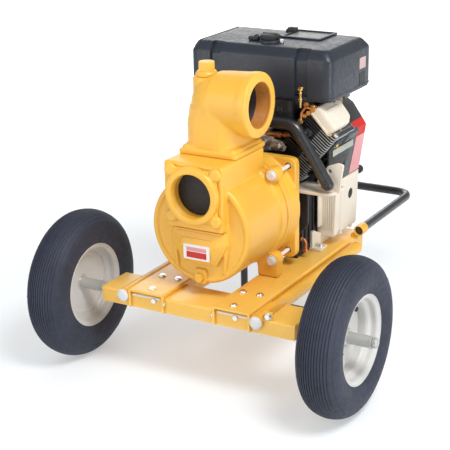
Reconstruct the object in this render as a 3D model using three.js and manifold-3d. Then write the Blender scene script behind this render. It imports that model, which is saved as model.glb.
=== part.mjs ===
// A two-wheeled, petrol-engine trash pump: a self-priming 4 inch pump bolted to a V-twin engine,
// both on a welded channel frame with two pneumatic wheels, a rear stand and a pull-out handle.
// Millimetres. +Z is up, -Y is the suction (front) end, +X the discharge side.
// The origin is on the ground at the centre of the overall box.
import * as THREE from 'three';
import { mergeVertices } from 'three/addons/utils/BufferGeometryUtils.js';
import Module from 'manifold-3d';

const wasm = await Module();
wasm.setup();

// ---- driving dimensions ----
const GAP = 0.3;                // left between touching pieces

const WHEEL_R = 200;            // 16 inch tyre
const TYRE_W = 108;
const TRACK = 779;              // between the wheels' centre planes
const RIM_R = 112;              // rim flange
const RIM_HALF_W = 45;
const HUB_R = 14;
const HUB_HALF = 66;
const AXLE_R = 9.5;             // 3/4 inch axle
const AXLE_END = 476;           // outer end of the axle collar, from the middle

const BEAM_HALF = 281;          // cross beam: a channel laid flat, flanges down
const BEAM_FRONT = -58;
const BEAM_BACK = 57;
const BEAM_TOP = 229;
const BEAM_BOTTOM = 189;
const STEEL = 6;                // wall of the channels

const FRAME_OFFSET = -17;       // the pump's centre line sits left of the wheels' middle
const RAIL_IN = 72;             // rails: inverted channels over the beam
const RAIL_OUT = 178;
const RAIL_TOP = 240;
const RAIL_BOTTOM = 190;
const FRAME_FRONT = -65;
const FRAME_BACK = 617;

const TUBE_R = 17;              // outer tubes beside the rails
const TUBE_X = 195.5;
const TUBE_Z = 219;
const TUBE_BACK = 535;

const HANDLE_R = 12.5;
const HANDLE_Z = 264;
const HANDLE_X = TUBE_X;
const HANDLE_FRONT = 553;       // front ends of the legs, inside their sockets
const HANDLE_BACK = 942;        // centre line of the cross bar
const HANDLE_BEND = 46;

const STAND_Y = 500;
const STAND_X = 150;
const STAND_R = 10.5;

const SHAFT_Z = 404;            // pump and engine shaft
const CASING_R = 141;
const CASING_FRONT = 5;
const FLANGE_FRONT = 172;       // rear flange of the casing, with the feet
const FLANGE_BACK = 204;
const PLATE_FRONT = 265;        // engine adapter plate
const PLATE_BACK = 290;
const PLATE_HALF = 138;
const BOLT_X = 116;             // bolt pattern of casing, adapter and engine
const BOLT_R = 6;

const PORT_R = 57;              // 4 inch pipe thread
const SUCTION_Z = 505;
const SUCTION_FACE = -40;
const DISCHARGE_Z = 710;
const DISCHARGE_Y = 132;
const DISCHARGE_FACE = 107;
const BOX_HALF = 79;            // suction chamber above the barrel
const BOX_LEFT = 89;            // it reaches further out on the side away from the discharge port
const BOX_FRONT = -16;
const BOX_TOP = 583.7;
const ELBOW_FLANGE_TOP = 606;

const ENGINE_FRONT = PLATE_BACK + GAP;
const CASE_BACK = 454;
const FAN_FRONT = CASE_BACK + GAP;
const SHROUD_FRONT = 490;       // clear of the cylinder heads
const FAN_BACK = 602;
const CYLINDER_Y = 408;
const V_ANGLE = THREE.MathUtils.degToRad(39);
const DECK = 96;                // from the shaft to the cylinders' seats
const HEAD_START = 186;
const COVER_START = 284;
const COVER_END = 318;

const TANK_HALF = 209;
const TANK_FRONT = 322;
const TANK_BACK = 582;
const TANK_BOTTOM = 681;
const TANK_TOP = 815;

// the overall box runs from the front of the tyres to the back of the handle
const AXLE_Y = (WHEEL_R - (HANDLE_BACK + HANDLE_R)) / 2;

// ---- materials ----
const paint = (color) => new THREE.MeshStandardMaterial({ color, roughness: 0.45, metalness: 0.1 });
const metal = (color, roughness) => new THREE.MeshStandardMaterial({ color, roughness, metalness: 0.9 });
const YELLOW = paint(0xf0b33c);
const BLACK_PAINT = paint(0x1c1d20);
const CREAM = paint(0xe6ddcd);
const RIM_PAINT = paint(0xd2cdc2);
const ZINC = metal(0xc9ccd0, 0.35);
const ALUMINIUM = metal(0xb4b6b8, 0.5);
const CAST_IRON = metal(0x55565a, 0.7);
const BRASS = metal(0xb98a3a, 0.4);
const TYRE_RUBBER = new THREE.MeshStandardMaterial({ color: 0x24262b, roughness: 0.85, metalness: 0 });
const SOFT_RUBBER = new THREE.MeshStandardMaterial({ color: 0x1a1a1a, roughness: 0.7, metalness: 0 });
const TANK_PLASTIC = new THREE.MeshStandardMaterial({ color: 0x2b303a, roughness: 0.5, metalness: 0 });

// ---- solids ----
// A closed geometry as a manifold solid, turned outside out if its faces point in.
function solid(geometry) {
  const bare = geometry.clone();
  for (const name of Object.keys(bare.attributes)) {
    if (name !== 'position') bare.deleteAttribute(name);
  }
  const merged = mergeVertices(bare, 1e-4);
  const points = merged.attributes.position.array;
  const corners = Array.from(merged.index.array);
  const faces = [];
  let volume = 0;
  for (let i = 0; i < corners.length; i += 3) {
    const [a, b, c] = corners.slice(i, i + 3);
    if (a === b || b === c || c === a) continue;
    const [pa, pb, pc] = [a, b, c].map((k) => new THREE.Vector3().fromArray(points, 3 * k));
    volume += pa.dot(pb.cross(pc));
    faces.push([a, b, c]);
  }
  const triVerts = faces.flatMap(([a, b, c]) => (volume < 0 ? [a, c, b] : [a, b, c]));
  return new wasm.Manifold(new wasm.Mesh({
    numProp: 3,
    vertProperties: new Float32Array(points),
    triVerts: new Uint32Array(triVerts),
  }));
}

const asSolid = (shape) => (shape.isBufferGeometry ? solid(shape) : shape);
const join = (...shapes) => shapes.map(asSolid).reduce((all, next) => all.add(next));
const cut = (body, ...tools) => tools.map(asSolid).reduce((all, next) => all.subtract(next), asSolid(body));

function geometryOf(shape) {
  const mesh = asSolid(shape).getMesh();
  const geometry = new THREE.BufferGeometry();
  geometry.setAttribute('position', new THREE.BufferAttribute(mesh.vertProperties, 3));
  geometry.setIndex(new THREE.BufferAttribute(mesh.triVerts, 1));
  geometry.computeVertexNormals();
  return geometry;
}

// ---- shape helpers ----
function box(x0, x1, y0, y1, z0, z1) {
  return new THREE.BoxGeometry(x1 - x0, y1 - y0, z1 - z0)
    .translate((x0 + x1) / 2, (y0 + y1) / 2, (z0 + z1) / 2);
}

const symmetricBox = (half, y0, y1, z0, z1) => box(-half, half, y0, y1, z0, z1);

// A round bar from a to b along one axis, through the other two coordinates.
function rodY(radius, y0, y1, x, z, sides = 16) {
  return new THREE.CylinderGeometry(radius, radius, y1 - y0, sides).translate(x, (y0 + y1) / 2, z);
}

function rodX(radius, x0, x1, y, z, sides = 16) {
  return new THREE.CylinderGeometry(radius, radius, x1 - x0, sides)
    .rotateZ(Math.PI / 2)
    .translate((x0 + x1) / 2, y, z);
}

function rodZ(radius, z0, z1, x, y, sides = 16) {
  return new THREE.CylinderGeometry(radius, radius, z1 - z0, sides)
    .rotateX(Math.PI / 2)
    .translate(x, y, (z0 + z1) / 2);
}

// A solid of revolution about +Y from [radius, height] pairs.
function turned(profile, sides = 20) {
  return new THREE.LatheGeometry(profile.map(([r, h]) => new THREE.Vector2(r, h)), sides);
}

// A closed outline for a pressed sheet of the given thickness along a centre line.
function sheetProfile(line, thickness) {
  const side = (sign) => line.map(([r, h], i) => {
    const [r0, h0] = line[Math.max(i - 1, 0)];
    const [r1, h1] = line[Math.min(i + 1, line.length - 1)];
    const length = Math.hypot(r1 - r0, h1 - h0);
    const shift = sign * thickness / 2 / length;
    return [r - shift * (h1 - h0), h + shift * (r1 - r0)];
  });
  const outline = [...side(1), ...side(-1).reverse()];
  return [...outline, outline[0]];
}

// A flat outline in X and Z, extruded along Y.
function plateY(shape, y0, y1, bevel = 0) {
  const geometry = new THREE.ExtrudeGeometry(shape, {
    depth: y1 - y0 - 2 * bevel,
    bevelEnabled: bevel > 0,
    bevelThickness: bevel,
    bevelSize: bevel,
    bevelOffset: -bevel,
    bevelSegments: 1,
    curveSegments: 3,
  });
  return geometry.rotateX(Math.PI / 2).translate(0, y1 - bevel, 0);
}

// The same outline in X and Y, extruded upward.
function plateZ(shape, z0, z1, bevel = 0) {
  return plateY(shape, z0, z1, bevel).rotateX(-Math.PI / 2).translate(0, 0, z0 + z1);
}

function roundedRect(x0, x1, z0, z1, r) {
  const shape = new THREE.Shape();
  shape.moveTo(x0 + r, z0);
  shape.lineTo(x1 - r, z0);
  shape.absarc(x1 - r, z0 + r, r, -Math.PI / 2, 0);
  shape.lineTo(x1, z1 - r);
  shape.absarc(x1 - r, z1 - r, r, 0, Math.PI / 2);
  shape.lineTo(x0 + r, z1);
  shape.absarc(x0 + r, z1 - r, r, Math.PI / 2, Math.PI);
  shape.lineTo(x0, z0 + r);
  shape.absarc(x0 + r, z0 + r, r, Math.PI, 1.5 * Math.PI);
  return shape;
}

function polygon(points) {
  const shape = new THREE.Shape();
  points.forEach(([x, z], i) => (i ? shape.lineTo(x, z) : shape.moveTo(x, z)));
  return shape;
}

// A bar of round section along a curve.
function bar(curve, radius, steps, sides = 10) {
  const section = new THREE.Shape();
  section.absarc(0, 0, radius, 0, 2 * Math.PI);
  return new THREE.ExtrudeGeometry(section, {
    extrudePath: curve, steps, curveSegments: sides / 2, bevelEnabled: false,
  });
}

const machine = new THREE.Group();
machine.position.y = AXLE_Y;
const onFrame = new THREE.Group();
onFrame.position.x = FRAME_OFFSET;
machine.add(onFrame);

function add(name, shape, material, parent = onFrame) {
  const mesh = new THREE.Mesh(geometryOf(shape), material);
  mesh.name = name;
  parent.add(mesh);
  return mesh;
}

// ---- wheels and axles ----
// Each profile is drawn about +Y and turned to lie along X.
const alongX = (geometry) => geometry.rotateZ(-Math.PI / 2);

function tyreShape() {
  const half = TYRE_W / 2;
  const outside = [
    [103.5, -34], [114, -40.5], [140, -half], [168, -half + 2], [189, -40], [WHEEL_R, -14],
  ];
  const mirrored = outside.map(([r, h]) => [r, -h]).reverse();
  const inside = [[103.5, 26], [142, 44], [184, 24], [184, -24], [142, -44], [103.5, -26]];
  return turned([...outside, ...mirrored, ...inside, outside[0]], 28);
}

function rimShape() {
  const edge = RIM_HALF_W - 2;
  const barrel = sheetProfile([
    [RIM_R, -edge], [101, -36], [88, -16], [88, 16], [101, 36], [RIM_R, edge],
  ], 3);
  const disc = sheetProfile([[88, -8], [62, -8], [HUB_R + 2, 0]], 4);
  return join(turned(barrel, 28), turned(disc, 28));
}

function hubShape() {
  const bore = AXLE_R + GAP;
  return turned([
    [bore, -HUB_HALF], [HUB_R, -HUB_HALF], [HUB_R, HUB_HALF], [bore, HUB_HALF], [bore, -HUB_HALF],
  ]);
}

function axleShape(side) {
  const stub = rodX(AXLE_R, BEAM_HALF - 46, AXLE_END - 6, 0, WHEEL_R);
  const spacer = rodX(AXLE_R + 5, BEAM_HALF + 1, TRACK / 2 - HUB_HALF - 1, 0, WHEEL_R);
  const collar = rodX(AXLE_R + 3, TRACK / 2 + HUB_HALF + 1, AXLE_END, 0, WHEEL_R);
  const whole = join(stub, spacer, collar);
  return side > 0 ? whole : whole.rotate([0, 0, 180]);
}

for (const [word, side] of [['left', -1], ['right', 1]]) {
  const wheel = new THREE.Group();
  wheel.position.set(side * TRACK / 2, 0, WHEEL_R);
  if (side < 0) wheel.rotation.z = Math.PI;
  machine.add(wheel);
  add(`${word}_tyre`, alongX(tyreShape()), TYRE_RUBBER, wheel);
  add(`${word}_wheel_rim`, rimShape().rotate([0, 0, -90]), RIM_PAINT, wheel);
  add(`${word}_wheel_hub`, alongX(hubShape()), ZINC, wheel);
  add(`${word}_axle`, axleShape(side), ZINC, machine);
}

// ---- frame ----
function crossBeam() {
  const channel = cut(
    symmetricBox(BEAM_HALF, BEAM_FRONT, BEAM_BACK, BEAM_BOTTOM, BEAM_TOP),
    symmetricBox(BEAM_HALF + 1, BEAM_FRONT + STEEL, BEAM_BACK - STEEL, BEAM_BOTTOM - 1, BEAM_TOP - STEEL),
  );
  const plates = [-1, 1].flatMap((side) => [BEAM_HALF - STEEL, BEAM_HALF - 44].map((x) => box(
    Math.min(side * x, side * (x + STEEL)), Math.max(side * x, side * (x + STEEL)),
    BEAM_FRONT + 1, BEAM_BACK - 1, BEAM_BOTTOM, BEAM_TOP - 1,
  )));
  const axleHole = rodX(AXLE_R + GAP, -BEAM_HALF - 1, BEAM_HALF + 1, 0, WHEEL_R);
  const saddles = [-1, 1].map((side) => rodY(
    TUBE_R + GAP, BEAM_FRONT - 1, BEAM_BACK + 1, side * TUBE_X + FRAME_OFFSET, TUBE_Z,
  ));
  return cut(join(channel, ...plates), axleHole, ...saddles);
}

// The rail's rear end carries the handle's socket on a short arm beside it.
function railShape(side) {
  const [x0, x1] = side > 0 ? [RAIL_IN, RAIL_OUT] : [-RAIL_OUT, -RAIL_IN];
  const x = side * HANDLE_X;
  const socketFront = HANDLE_FRONT - 6;
  const [armIn, armOut] = side > 0 ? [RAIL_OUT - 8, HANDLE_X - 4] : [4 - HANDLE_X, 8 - RAIL_OUT];
  return cut(
    join(
      box(x0, x1, FRAME_FRONT, FRAME_BACK, RAIL_BOTTOM, RAIL_TOP),
      rodY(HANDLE_R + 3, socketFront, FRAME_BACK, x, HANDLE_Z),
      box(armIn, armOut, socketFront + 6, FRAME_BACK - 6, RAIL_TOP - 2, RAIL_TOP + 12),
    ),
    box(x0 + STEEL, x1 - STEEL, FRAME_FRONT - 1, FRAME_BACK + 1, RAIL_BOTTOM - 1, RAIL_TOP - STEEL),
    box(x0 - 1, x1 + 1, BEAM_FRONT - GAP, BEAM_BACK + GAP, RAIL_BOTTOM - 1, BEAM_TOP + GAP),
    rodY(HANDLE_R + GAP, socketFront - 1, FRAME_BACK + 1, x, HANDLE_Z),
  );
}

function sideTube(side) {
  const x = side * TUBE_X;
  return cut(
    rodY(TUBE_R, FRAME_FRONT, TUBE_BACK, x, TUBE_Z),
    rodY(TUBE_R - 4, FRAME_FRONT - 1, TUBE_BACK + 1, x, TUBE_Z),
  );
}

function tubePlug(side) {
  const plug = turned([[0, -7], [11, -6], [TUBE_R, -2], [TUBE_R, -GAP], [12.5, -GAP], [12.5, 14], [0, 14]]);
  return plug.translate(side * TUBE_X, FRAME_FRONT, TUBE_Z);
}

function rearCrossMember() {
  const y0 = FRAME_BACK - 60;
  return cut(
    symmetricBox(RAIL_IN - GAP, y0, FRAME_BACK - 8, RAIL_BOTTOM + 4, RAIL_TOP - 2),
    symmetricBox(RAIL_IN + 1, y0 + STEEL, FRAME_BACK - 8 - STEEL, RAIL_BOTTOM, RAIL_TOP - 2 - STEEL),
  );
}

// A path through the given points, with each inner corner rounded by a bend of the given length.
function bentPath(points, bend) {
  const path = new THREE.CurvePath();
  let start = points[0];
  points.slice(1, -1).forEach((corner, i) => {
    const towards = (point) => corner.clone().add(point.clone().sub(corner).setLength(bend));
    const [before, after] = [towards(points[i]), towards(points[i + 2])];
    path.add(new THREE.LineCurve3(start, before));
    path.add(new THREE.QuadraticBezierCurve3(before, corner, after));
    start = after;
  });
  path.add(new THREE.LineCurve3(start, points.at(-1)));
  return path;
}

// A bent U of round bar with a pad under each rail and a foot bar on the ground.
function standShape() {
  const top = RAIL_TOP - STEEL - GAP;
  const corners = [[-STAND_X, top - 4], [-STAND_X, STAND_R], [STAND_X, STAND_R], [STAND_X, top - 4]];
  const path = bentPath(corners.map(([x, z]) => new THREE.Vector3(x, STAND_Y, z)), 34);
  const middle = (RAIL_IN + RAIL_OUT) / 2;
  const pads = [-middle, middle].map((x) => box(x - 40, x + 40, STAND_Y - 30, STAND_Y + 30, top - 6, top));
  return join(bar(path, STAND_R, 36, 8), ...pads);
}

function handleShape() {
  const corners = [
    [-HANDLE_X, HANDLE_FRONT], [-HANDLE_X, HANDLE_BACK], [HANDLE_X, HANDLE_BACK], [HANDLE_X, HANDLE_FRONT],
  ];
  const path = bentPath(corners.map(([x, y]) => new THREE.Vector3(x, y, HANDLE_Z)), HANDLE_BEND);
  return bar(path, HANDLE_R, 40, 8);
}

add('cross_beam', crossBeam(), YELLOW, machine);
for (const [word, side] of [['left', -1], ['right', 1]]) {
  add(`${word}_rail`, railShape(side), YELLOW);
  add(`${word}_side_tube`, sideTube(side), YELLOW);
  add(`${word}_tube_plug`, tubePlug(side), ZINC);
}
add('rear_cross_member', rearCrossMember(), YELLOW);
add('rear_stand', standShape(), BLACK_PAINT);
add('pull_handle', handleShape(), BLACK_PAINT);

// ---- pump ----
const CASING_WALL = 16;
const CLEANOUT_Z = 362;
const DRAIN_Z = 281;
const FLAP_FRONT = BOX_FRONT + CASING_WALL + GAP;
const FLAP_HINGE_Z = SUCTION_Z + 61.5;
const PRIMING_X = -45;
const PRIMING_SEAT = 772;

const boltPattern = [
  [-1, 1, 'upper_left'], [1, 1, 'upper_right'], [-1, -1, 'lower_left'], [1, -1, 'lower_right'],
];
const atBolts = (make) => boltPattern.map(([sx, sz]) => make(sx * BOLT_X, SHAFT_Z + sz * BOLT_X));

// Barrel, suction chamber above it, rear flange with four bolt lugs, and two feet on the rails.
function casingShape() {
  const barrel = rodY(CASING_R, CASING_FRONT, FLANGE_BACK, 0, SHAFT_Z, 28);
  const chamber = box(-BOX_LEFT, BOX_HALF, BOX_FRONT, FLANGE_BACK, SHAFT_Z + 25, BOX_TOP);
  const flange = rodY(CASING_R + 6, FLANGE_FRONT, FLANGE_BACK, 0, SHAFT_Z, 28);
  const lugs = atBolts((x, z) => rodY(20, FLANGE_FRONT, FLANGE_BACK, x, z, 12));
  const feet = [-1, 1].map((side) => plateY(polygon([
    [side * 74, RAIL_TOP + GAP], [side * 130, RAIL_TOP + GAP], [side * 134, SHAFT_Z - BOLT_X],
    [side * 100, SHAFT_Z - 90], [side * 70, SHAFT_Z - 115],
  ]), FLANGE_FRONT, FLANGE_BACK));
  const cavity = rodY(124, CASING_FRONT + CASING_WALL, FLANGE_BACK + 1, 0, SHAFT_Z, 20);
  const upper = box(
    12 - BOX_LEFT, BOX_HALF - 12, BOX_FRONT + CASING_WALL, 196, SHAFT_Z + 30, BOX_TOP - 12,
  );
  const suctionBore = rodY(PORT_R, BOX_FRONT - 4, 40, 0, SUCTION_Z, 20);
  const dischargeBore = rodZ(PORT_R, BOX_TOP - 40, BOX_TOP + 1, 0, DISCHARGE_Y, 20);
  const cleanout = rodY(35, -20, 40, 0, CLEANOUT_Z, 16);
  const drain = rodY(9, -20, 40, 0, DRAIN_Z, 16);
  const boltHoles = atBolts((x, z) => rodY(BOLT_R + 0.5, FLANGE_FRONT - 1, FLANGE_BACK + 1, x, z, 8));
  return cut(
    join(barrel, chamber, flange, ...lugs, ...feet),
    cavity, upper, suctionBore, dischargeBore, cleanout, drain, ...boltHoles,
  );
}

function suctionFlange() {
  const square = plateY(roundedRect(-76, 76, SUCTION_Z - 75, SUCTION_Z + 75, 16), -35, BOX_FRONT - GAP);
  const boss = rodY(75, SUCTION_FACE, BOX_FRONT - 4, 0, SUCTION_Z, 20);
  return cut(join(square, boss), rodY(PORT_R, SUCTION_FACE - 1, 0, 0, SUCTION_Z, 20));
}

// A six-sided cover, widest below its top edge, with a spigot in the casing's clean-out hole.
function cleanoutCover() {
  const outline = [[66, 403], [75, 376], [45, 322], [-45, 322], [-75, 376], [-66, 403]];
  return join(
    plateY(polygon(outline), -14, CASING_FRONT - GAP, 12),
    rodY(34, -2, CASING_FRONT + 10, 0, CLEANOUT_Z),
  );
}

function drainPlug() {
  return join(
    rodY(12, -9, CASING_FRONT - GAP, 0, DRAIN_Z, 6),
    rodY(8.5, -2, CASING_FRONT + 12, 0, DRAIN_Z, 16),
  );
}

// Rubber flap behind the suction port, hung from a hinge rod above it.
function flapper() {
  return join(
    rodY(60, FLAP_FRONT, FLAP_FRONT + 7, 0, SUCTION_Z, 20),
    rodY(44, FLAP_FRONT + 5, FLAP_FRONT + 12, 0, SUCTION_Z, 16),
    box(-18, 18, FLAP_FRONT, FLAP_FRONT + 7, SUCTION_Z + 40, FLAP_HINGE_Z),
    rodX(3, -24, 24, FLAP_FRONT + 4, FLAP_HINGE_Z, 12),
  );
}

function elbowShape() {
  const y = DISCHARGE_Y;
  const foot = plateZ(
    roundedRect(3 - BOX_LEFT, BOX_HALF, y - 80, y + 80, 8), BOX_TOP + GAP, ELBOW_FLANGE_TOP,
  );
  const tower = plateZ(roundedRect(-76, 68, y - 66, y + 66, 30), ELBOW_FLANGE_TOP - 2, DISCHARGE_Z);
  const barrel = rodX(78, -4, DISCHARGE_FACE - 18, y, DISCHARGE_Z, 20);
  const collar = rodX(83, DISCHARGE_FACE - 20, DISCHARGE_FACE, y, DISCHARGE_Z, 20);
  const heel = new THREE.SphereGeometry(78, 20, 10).translate(-4, y, DISCHARGE_Z);
  const primingBoss = rodZ(33, DISCHARGE_Z, PRIMING_SEAT, PRIMING_X, y, 16);
  const outer = join(foot, tower, barrel, collar, heel, primingBoss);
  const bore = join(
    rodZ(PORT_R, BOX_TOP - 1, DISCHARGE_Z, 0, y, 20),
    new THREE.SphereGeometry(PORT_R, 20, 10).translate(0, y, DISCHARGE_Z),
    rodX(PORT_R, 0, DISCHARGE_FACE + 1, y, DISCHARGE_Z, 20),
    rodZ(17, DISCHARGE_Z + 20, PRIMING_SEAT + 1, PRIMING_X, y, 20),
  );
  const spotFace = rodZ(31, PRIMING_SEAT, PRIMING_SEAT + 40, PRIMING_X, y, 20);
  return cut(outer, bore, spotFace);
}

function primingPlug() {
  return join(
    rodZ(23, PRIMING_SEAT + GAP, PRIMING_SEAT + 36, 0, 0, 6),
    rodZ(29, PRIMING_SEAT + GAP, PRIMING_SEAT + 13, 0, 0, 16),
    rodZ(16.5, PRIMING_SEAT - 22, PRIMING_SEAT + 5, 0, 0, 20),
  ).translate([PRIMING_X, DISCHARGE_Y, 0]);
}

// Bowl-shaped bracket between the casing and the engine's face.
function adapterShape() {
  const front = FLANGE_BACK + GAP;
  const ring = rodY(150, front, PLATE_FRONT + 2, 0, SHAFT_Z, 28);
  const lugs = atBolts((x, z) => rodY(18, front, 228, x, z, 12));
  const half = PLATE_HALF;
  const plate = plateY(roundedRect(-half, half, SHAFT_Z - half, SHAFT_Z + half, 22), PLATE_FRONT, PLATE_BACK);
  const inside = rodY(128, front - 1, 258, 0, SHAFT_Z, 20);
  const pilot = rodY(60, 250, PLATE_BACK + 1, 0, SHAFT_Z, 20);
  const holes = atBolts((x, z) => rodY(BOLT_R + 0.5, front - 1, PLATE_BACK + 1, x, z, 8));
  return cut(join(ring, ...lugs, plate), inside, pilot, ...holes);
}

function casingBolt(x, z) {
  return join(
    rodY(14, FLANGE_FRONT - 11, FLANGE_FRONT - GAP, x, z, 6),
    rodY(BOLT_R - 0.3, FLANGE_FRONT - 2, PLATE_BACK - 1, x, z, 8),
  );
}

function impellerShape() {
  const wheel = turned([
    [15, 118], [26, 118], [30, 160], [104, 170], [104, 180], [15, 180], [15, 118],
  ], 20);
  const vanes = [0, 1, 2].map((k) => {
    const vane = new THREE.BoxGeometry(78, 44, 9).translate(60, 148, 0);
    return vane.rotateY(k * 2 * Math.PI / 3);
  });
  return cut(join(wheel, ...vanes), rodY(15, 100, 200, 0, 0, 16)).translate([0, 0, SHAFT_Z]);
}

function sealPlate() {
  const disc = turned([[22, 187], [123, 187], [123, FLANGE_BACK], [22, FLANGE_BACK], [22, 187]], 20);
  return disc.translate(0, 0, SHAFT_Z);
}

function shaftSeal() {
  const profile = [[14.7, 189], [21.6, 189], [21.6, 207], [30, 207], [30, 216], [14.7, 216], [14.7, 189]];
  return turned(profile, 20).translate(0, 0, SHAFT_Z);
}

add('pump_casing', casingShape(), YELLOW);
add('suction_flange', suctionFlange(), YELLOW);
add('cleanout_cover', cleanoutCover(), YELLOW);
add('drain_plug', drainPlug(), YELLOW);
add('suction_flap_valve', flapper(), SOFT_RUBBER);
add('discharge_elbow', elbowShape(), YELLOW);
add('priming_plug', primingPlug(), YELLOW);
add('engine_adapter', adapterShape(), YELLOW);
for (const [sx, sz, word] of boltPattern) {
  add(`casing_bolt_${word}`, casingBolt(sx * BOLT_X, SHAFT_Z + sz * BOLT_X), ZINC);
}
add('impeller', impellerShape(), CAST_IRON);
add('seal_plate', sealPlate(), CAST_IRON);
add('shaft_seal', shaftSeal(), BRASS);

// ---- engine ----
const CYLINDER_HALF = 54;
const BORE_R = 39;
const NECK_R = 100;             // round front of the crankcase, which the adapter plate meets
const NECK_BACK = 331;
const CASE_HALF = 112;
const FOOT_TOP = 292;
const FAN_BOTTOM = 268;
const DIPSTICK_X = -97;
const DIPSTICK_Y = 341;

// The two banks are drawn upright from the shaft and leaned over by the V angle.
function bank(side) {
  const group = new THREE.Group();
  group.position.set(0, CYLINDER_Y - side * 8, SHAFT_Z);
  group.rotation.y = side * V_ANGLE;
  onFrame.add(group);
  return group;
}
const banks = { left: bank(-1), right: bank(1) };

function bankBore(side, radius, start, end) {
  const bore = new THREE.CylinderGeometry(radius, radius, end - start, 20)
    .rotateX(Math.PI / 2)
    .translate(0, 0, (start + end) / 2)
    .rotateY(side * V_ANGLE)
    .translate(0, CYLINDER_Y - side * 8, SHAFT_Z);
  return bore;
}

function crankcaseShape() {
  const low = RAIL_TOP + GAP;
  const half = CASE_HALF;
  const ridge = 22;
  const seat = (x) => SHAFT_Z + (DECK - x * Math.sin(V_ANGLE)) / Math.cos(V_ANGLE);
  const outline = polygon([
    [-half, low], [half, low], [half, seat(half)], [ridge, seat(ridge)],
    [-ridge, seat(ridge)], [-half, seat(half)],
  ]);
  const block = plateY(outline, NECK_BACK, CASE_BACK);
  const neck = rodY(NECK_R, ENGINE_FRONT, NECK_BACK + 1, 0, SHAFT_Z, 20);
  const feet = [[-116, -100], [100, 116]].flatMap(([x0, x1]) => [
    box(x0, x1, 405, CASE_BACK, low, FOOT_TOP),
    box(x0, x1, 405, 532, low, FAN_BOTTOM - GAP),
  ]);
  return cut(
    join(block, neck, ...feet),
    rodY(74, ENGINE_FRONT + 24, CASE_BACK - 14, 0, SHAFT_Z, 20),
    rodY(15, ENGINE_FRONT - 1, CASE_BACK + 1, 0, SHAFT_Z, 16),
    bankBore(-1, BORE_R, 20, 140),
    bankBore(1, BORE_R, 20, 140),
    symmetricBox(80, NECK_BACK + 12, CASE_BACK - 14, low + 14, SHAFT_Z - 60),
    rodZ(5, 320, 500, DIPSTICK_X, DIPSTICK_Y, 12),
  );
}

function crankshaftShape() {
  const r = 14;
  const web = (y) => join(rodY(52, y, y + 12, 0, 10, 20));
  return join(
    rodY(r, 128, 372, 0, 0, 16),
    web(360), rodY(17, 365, 425, 0, 33, 20), web(418),
    rodY(r, 424, 586, 0, 0, 16),
  ).translate([0, 0, SHAFT_Z]);
}

function cylinderShape() {
  const core = rodZ(BORE_R + 10, DECK + GAP, HEAD_START, 0, 0, 12);
  const fins = [0, 1, 2, 3, 4].map((k) => {
    const z = DECK + 14 + 16 * k;
    return box(-CYLINDER_HALF, CYLINDER_HALF, -CYLINDER_HALF, CYLINDER_HALF, z, z + 3);
  });
  return cut(join(core, ...fins), rodZ(BORE_R, DECK - 1, HEAD_START + 1, 0, 0, 16));
}

function headShape() {
  const z0 = HEAD_START + GAP;
  const core = box(-46, 46, -56, 56, z0, COVER_START);
  const fins = [0, 1, 2, 3, 4, 5].map((k) => {
    const z = z0 + 10 + 15 * k;
    return box(-CYLINDER_HALF, CYLINDER_HALF, -66, 66, z, z + 3);
  });
  return join(core, ...fins);
}

function valveCover() {
  return plateZ(roundedRect(-39, 39, -72, 50, 14), COVER_START + GAP, COVER_END, 5);
}

function pistonShape() {
  return cut(rodZ(BORE_R - 0.5, 122, 170, 0, 0, 16), rodZ(BORE_R - 6, 110, 160, 0, 0, 16));
}

for (const word of ['left', 'right']) {
  add(`${word}_cylinder`, cylinderShape(), CAST_IRON, banks[word]);
  add(`${word}_cylinder_head`, headShape(), CAST_IRON, banks[word]);
  add(`${word}_valve_cover`, valveCover(), CREAM, banks[word]);
  add(`${word}_piston`, pistonShape(), ALUMINIUM, banks[word]);
}
add('crankcase', crankcaseShape(), BLACK_PAINT);
add('crankshaft', crankshaftShape(), CAST_IRON);

// Fan housing behind the crankcase: cream lower half, black upper shroud, flywheel and fan inside.
const FAN_SPLIT = 430;
const FAN_HALF = 169;
const SHOULDER_TOP = 452;       // the base's front edge stands above the split
const CHOKE_X = 158;
const CHOKE_Z = 421;

function housingShell(outline, front) {
  return cut(
    plateY(outline, front, FAN_BACK),
    rodY(132, SHROUD_FRONT + 8, FAN_BACK - 8, 0, SHAFT_Z, 28),
    rodY(88, SHROUD_FRONT + 20, FAN_BACK + 1, 0, SHAFT_Z, 20),
    rodY(18, FAN_FRONT - 1, SHROUD_FRONT + 30, 0, SHAFT_Z, 16),
    rodY(4.5, 558, FAN_BACK + 1, CHOKE_X, CHOKE_Z, 12),
  );
}

function fanBase() {
  const shell = housingShell(polygon([
    [-FAN_HALF + 6, FAN_BOTTOM], [FAN_HALF - 6, FAN_BOTTOM], [FAN_HALF, FAN_SPLIT],
    [-FAN_HALF, FAN_SPLIT],
  ]), FAN_FRONT);
  const shoulder = symmetricBox(FAN_HALF, FAN_FRONT, SHROUD_FRONT - GAP, FAN_SPLIT - 2, SHOULDER_TOP);
  const flanges = [-1, 1].map((side) => plateY(polygon([
    [side * (CASE_HALF + GAP), FOOT_TOP + GAP], [side * (CASE_HALF + 8), FOOT_TOP + GAP],
    [side * (CASE_HALF + 8), 440], [side * (CASE_HALF + GAP), 440],
  ]), 430, FAN_FRONT + 1));
  return join(shell, shoulder, ...flanges);
}

function fanShroud() {
  return housingShell(polygon([
    [-FAN_HALF, FAN_SPLIT + GAP], [FAN_HALF, FAN_SPLIT + GAP], [190, 565], [150, 622], [92, 660],
    [-92, 660], [-150, 622], [-190, 565],
  ]), SHROUD_FRONT);
}

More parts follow.
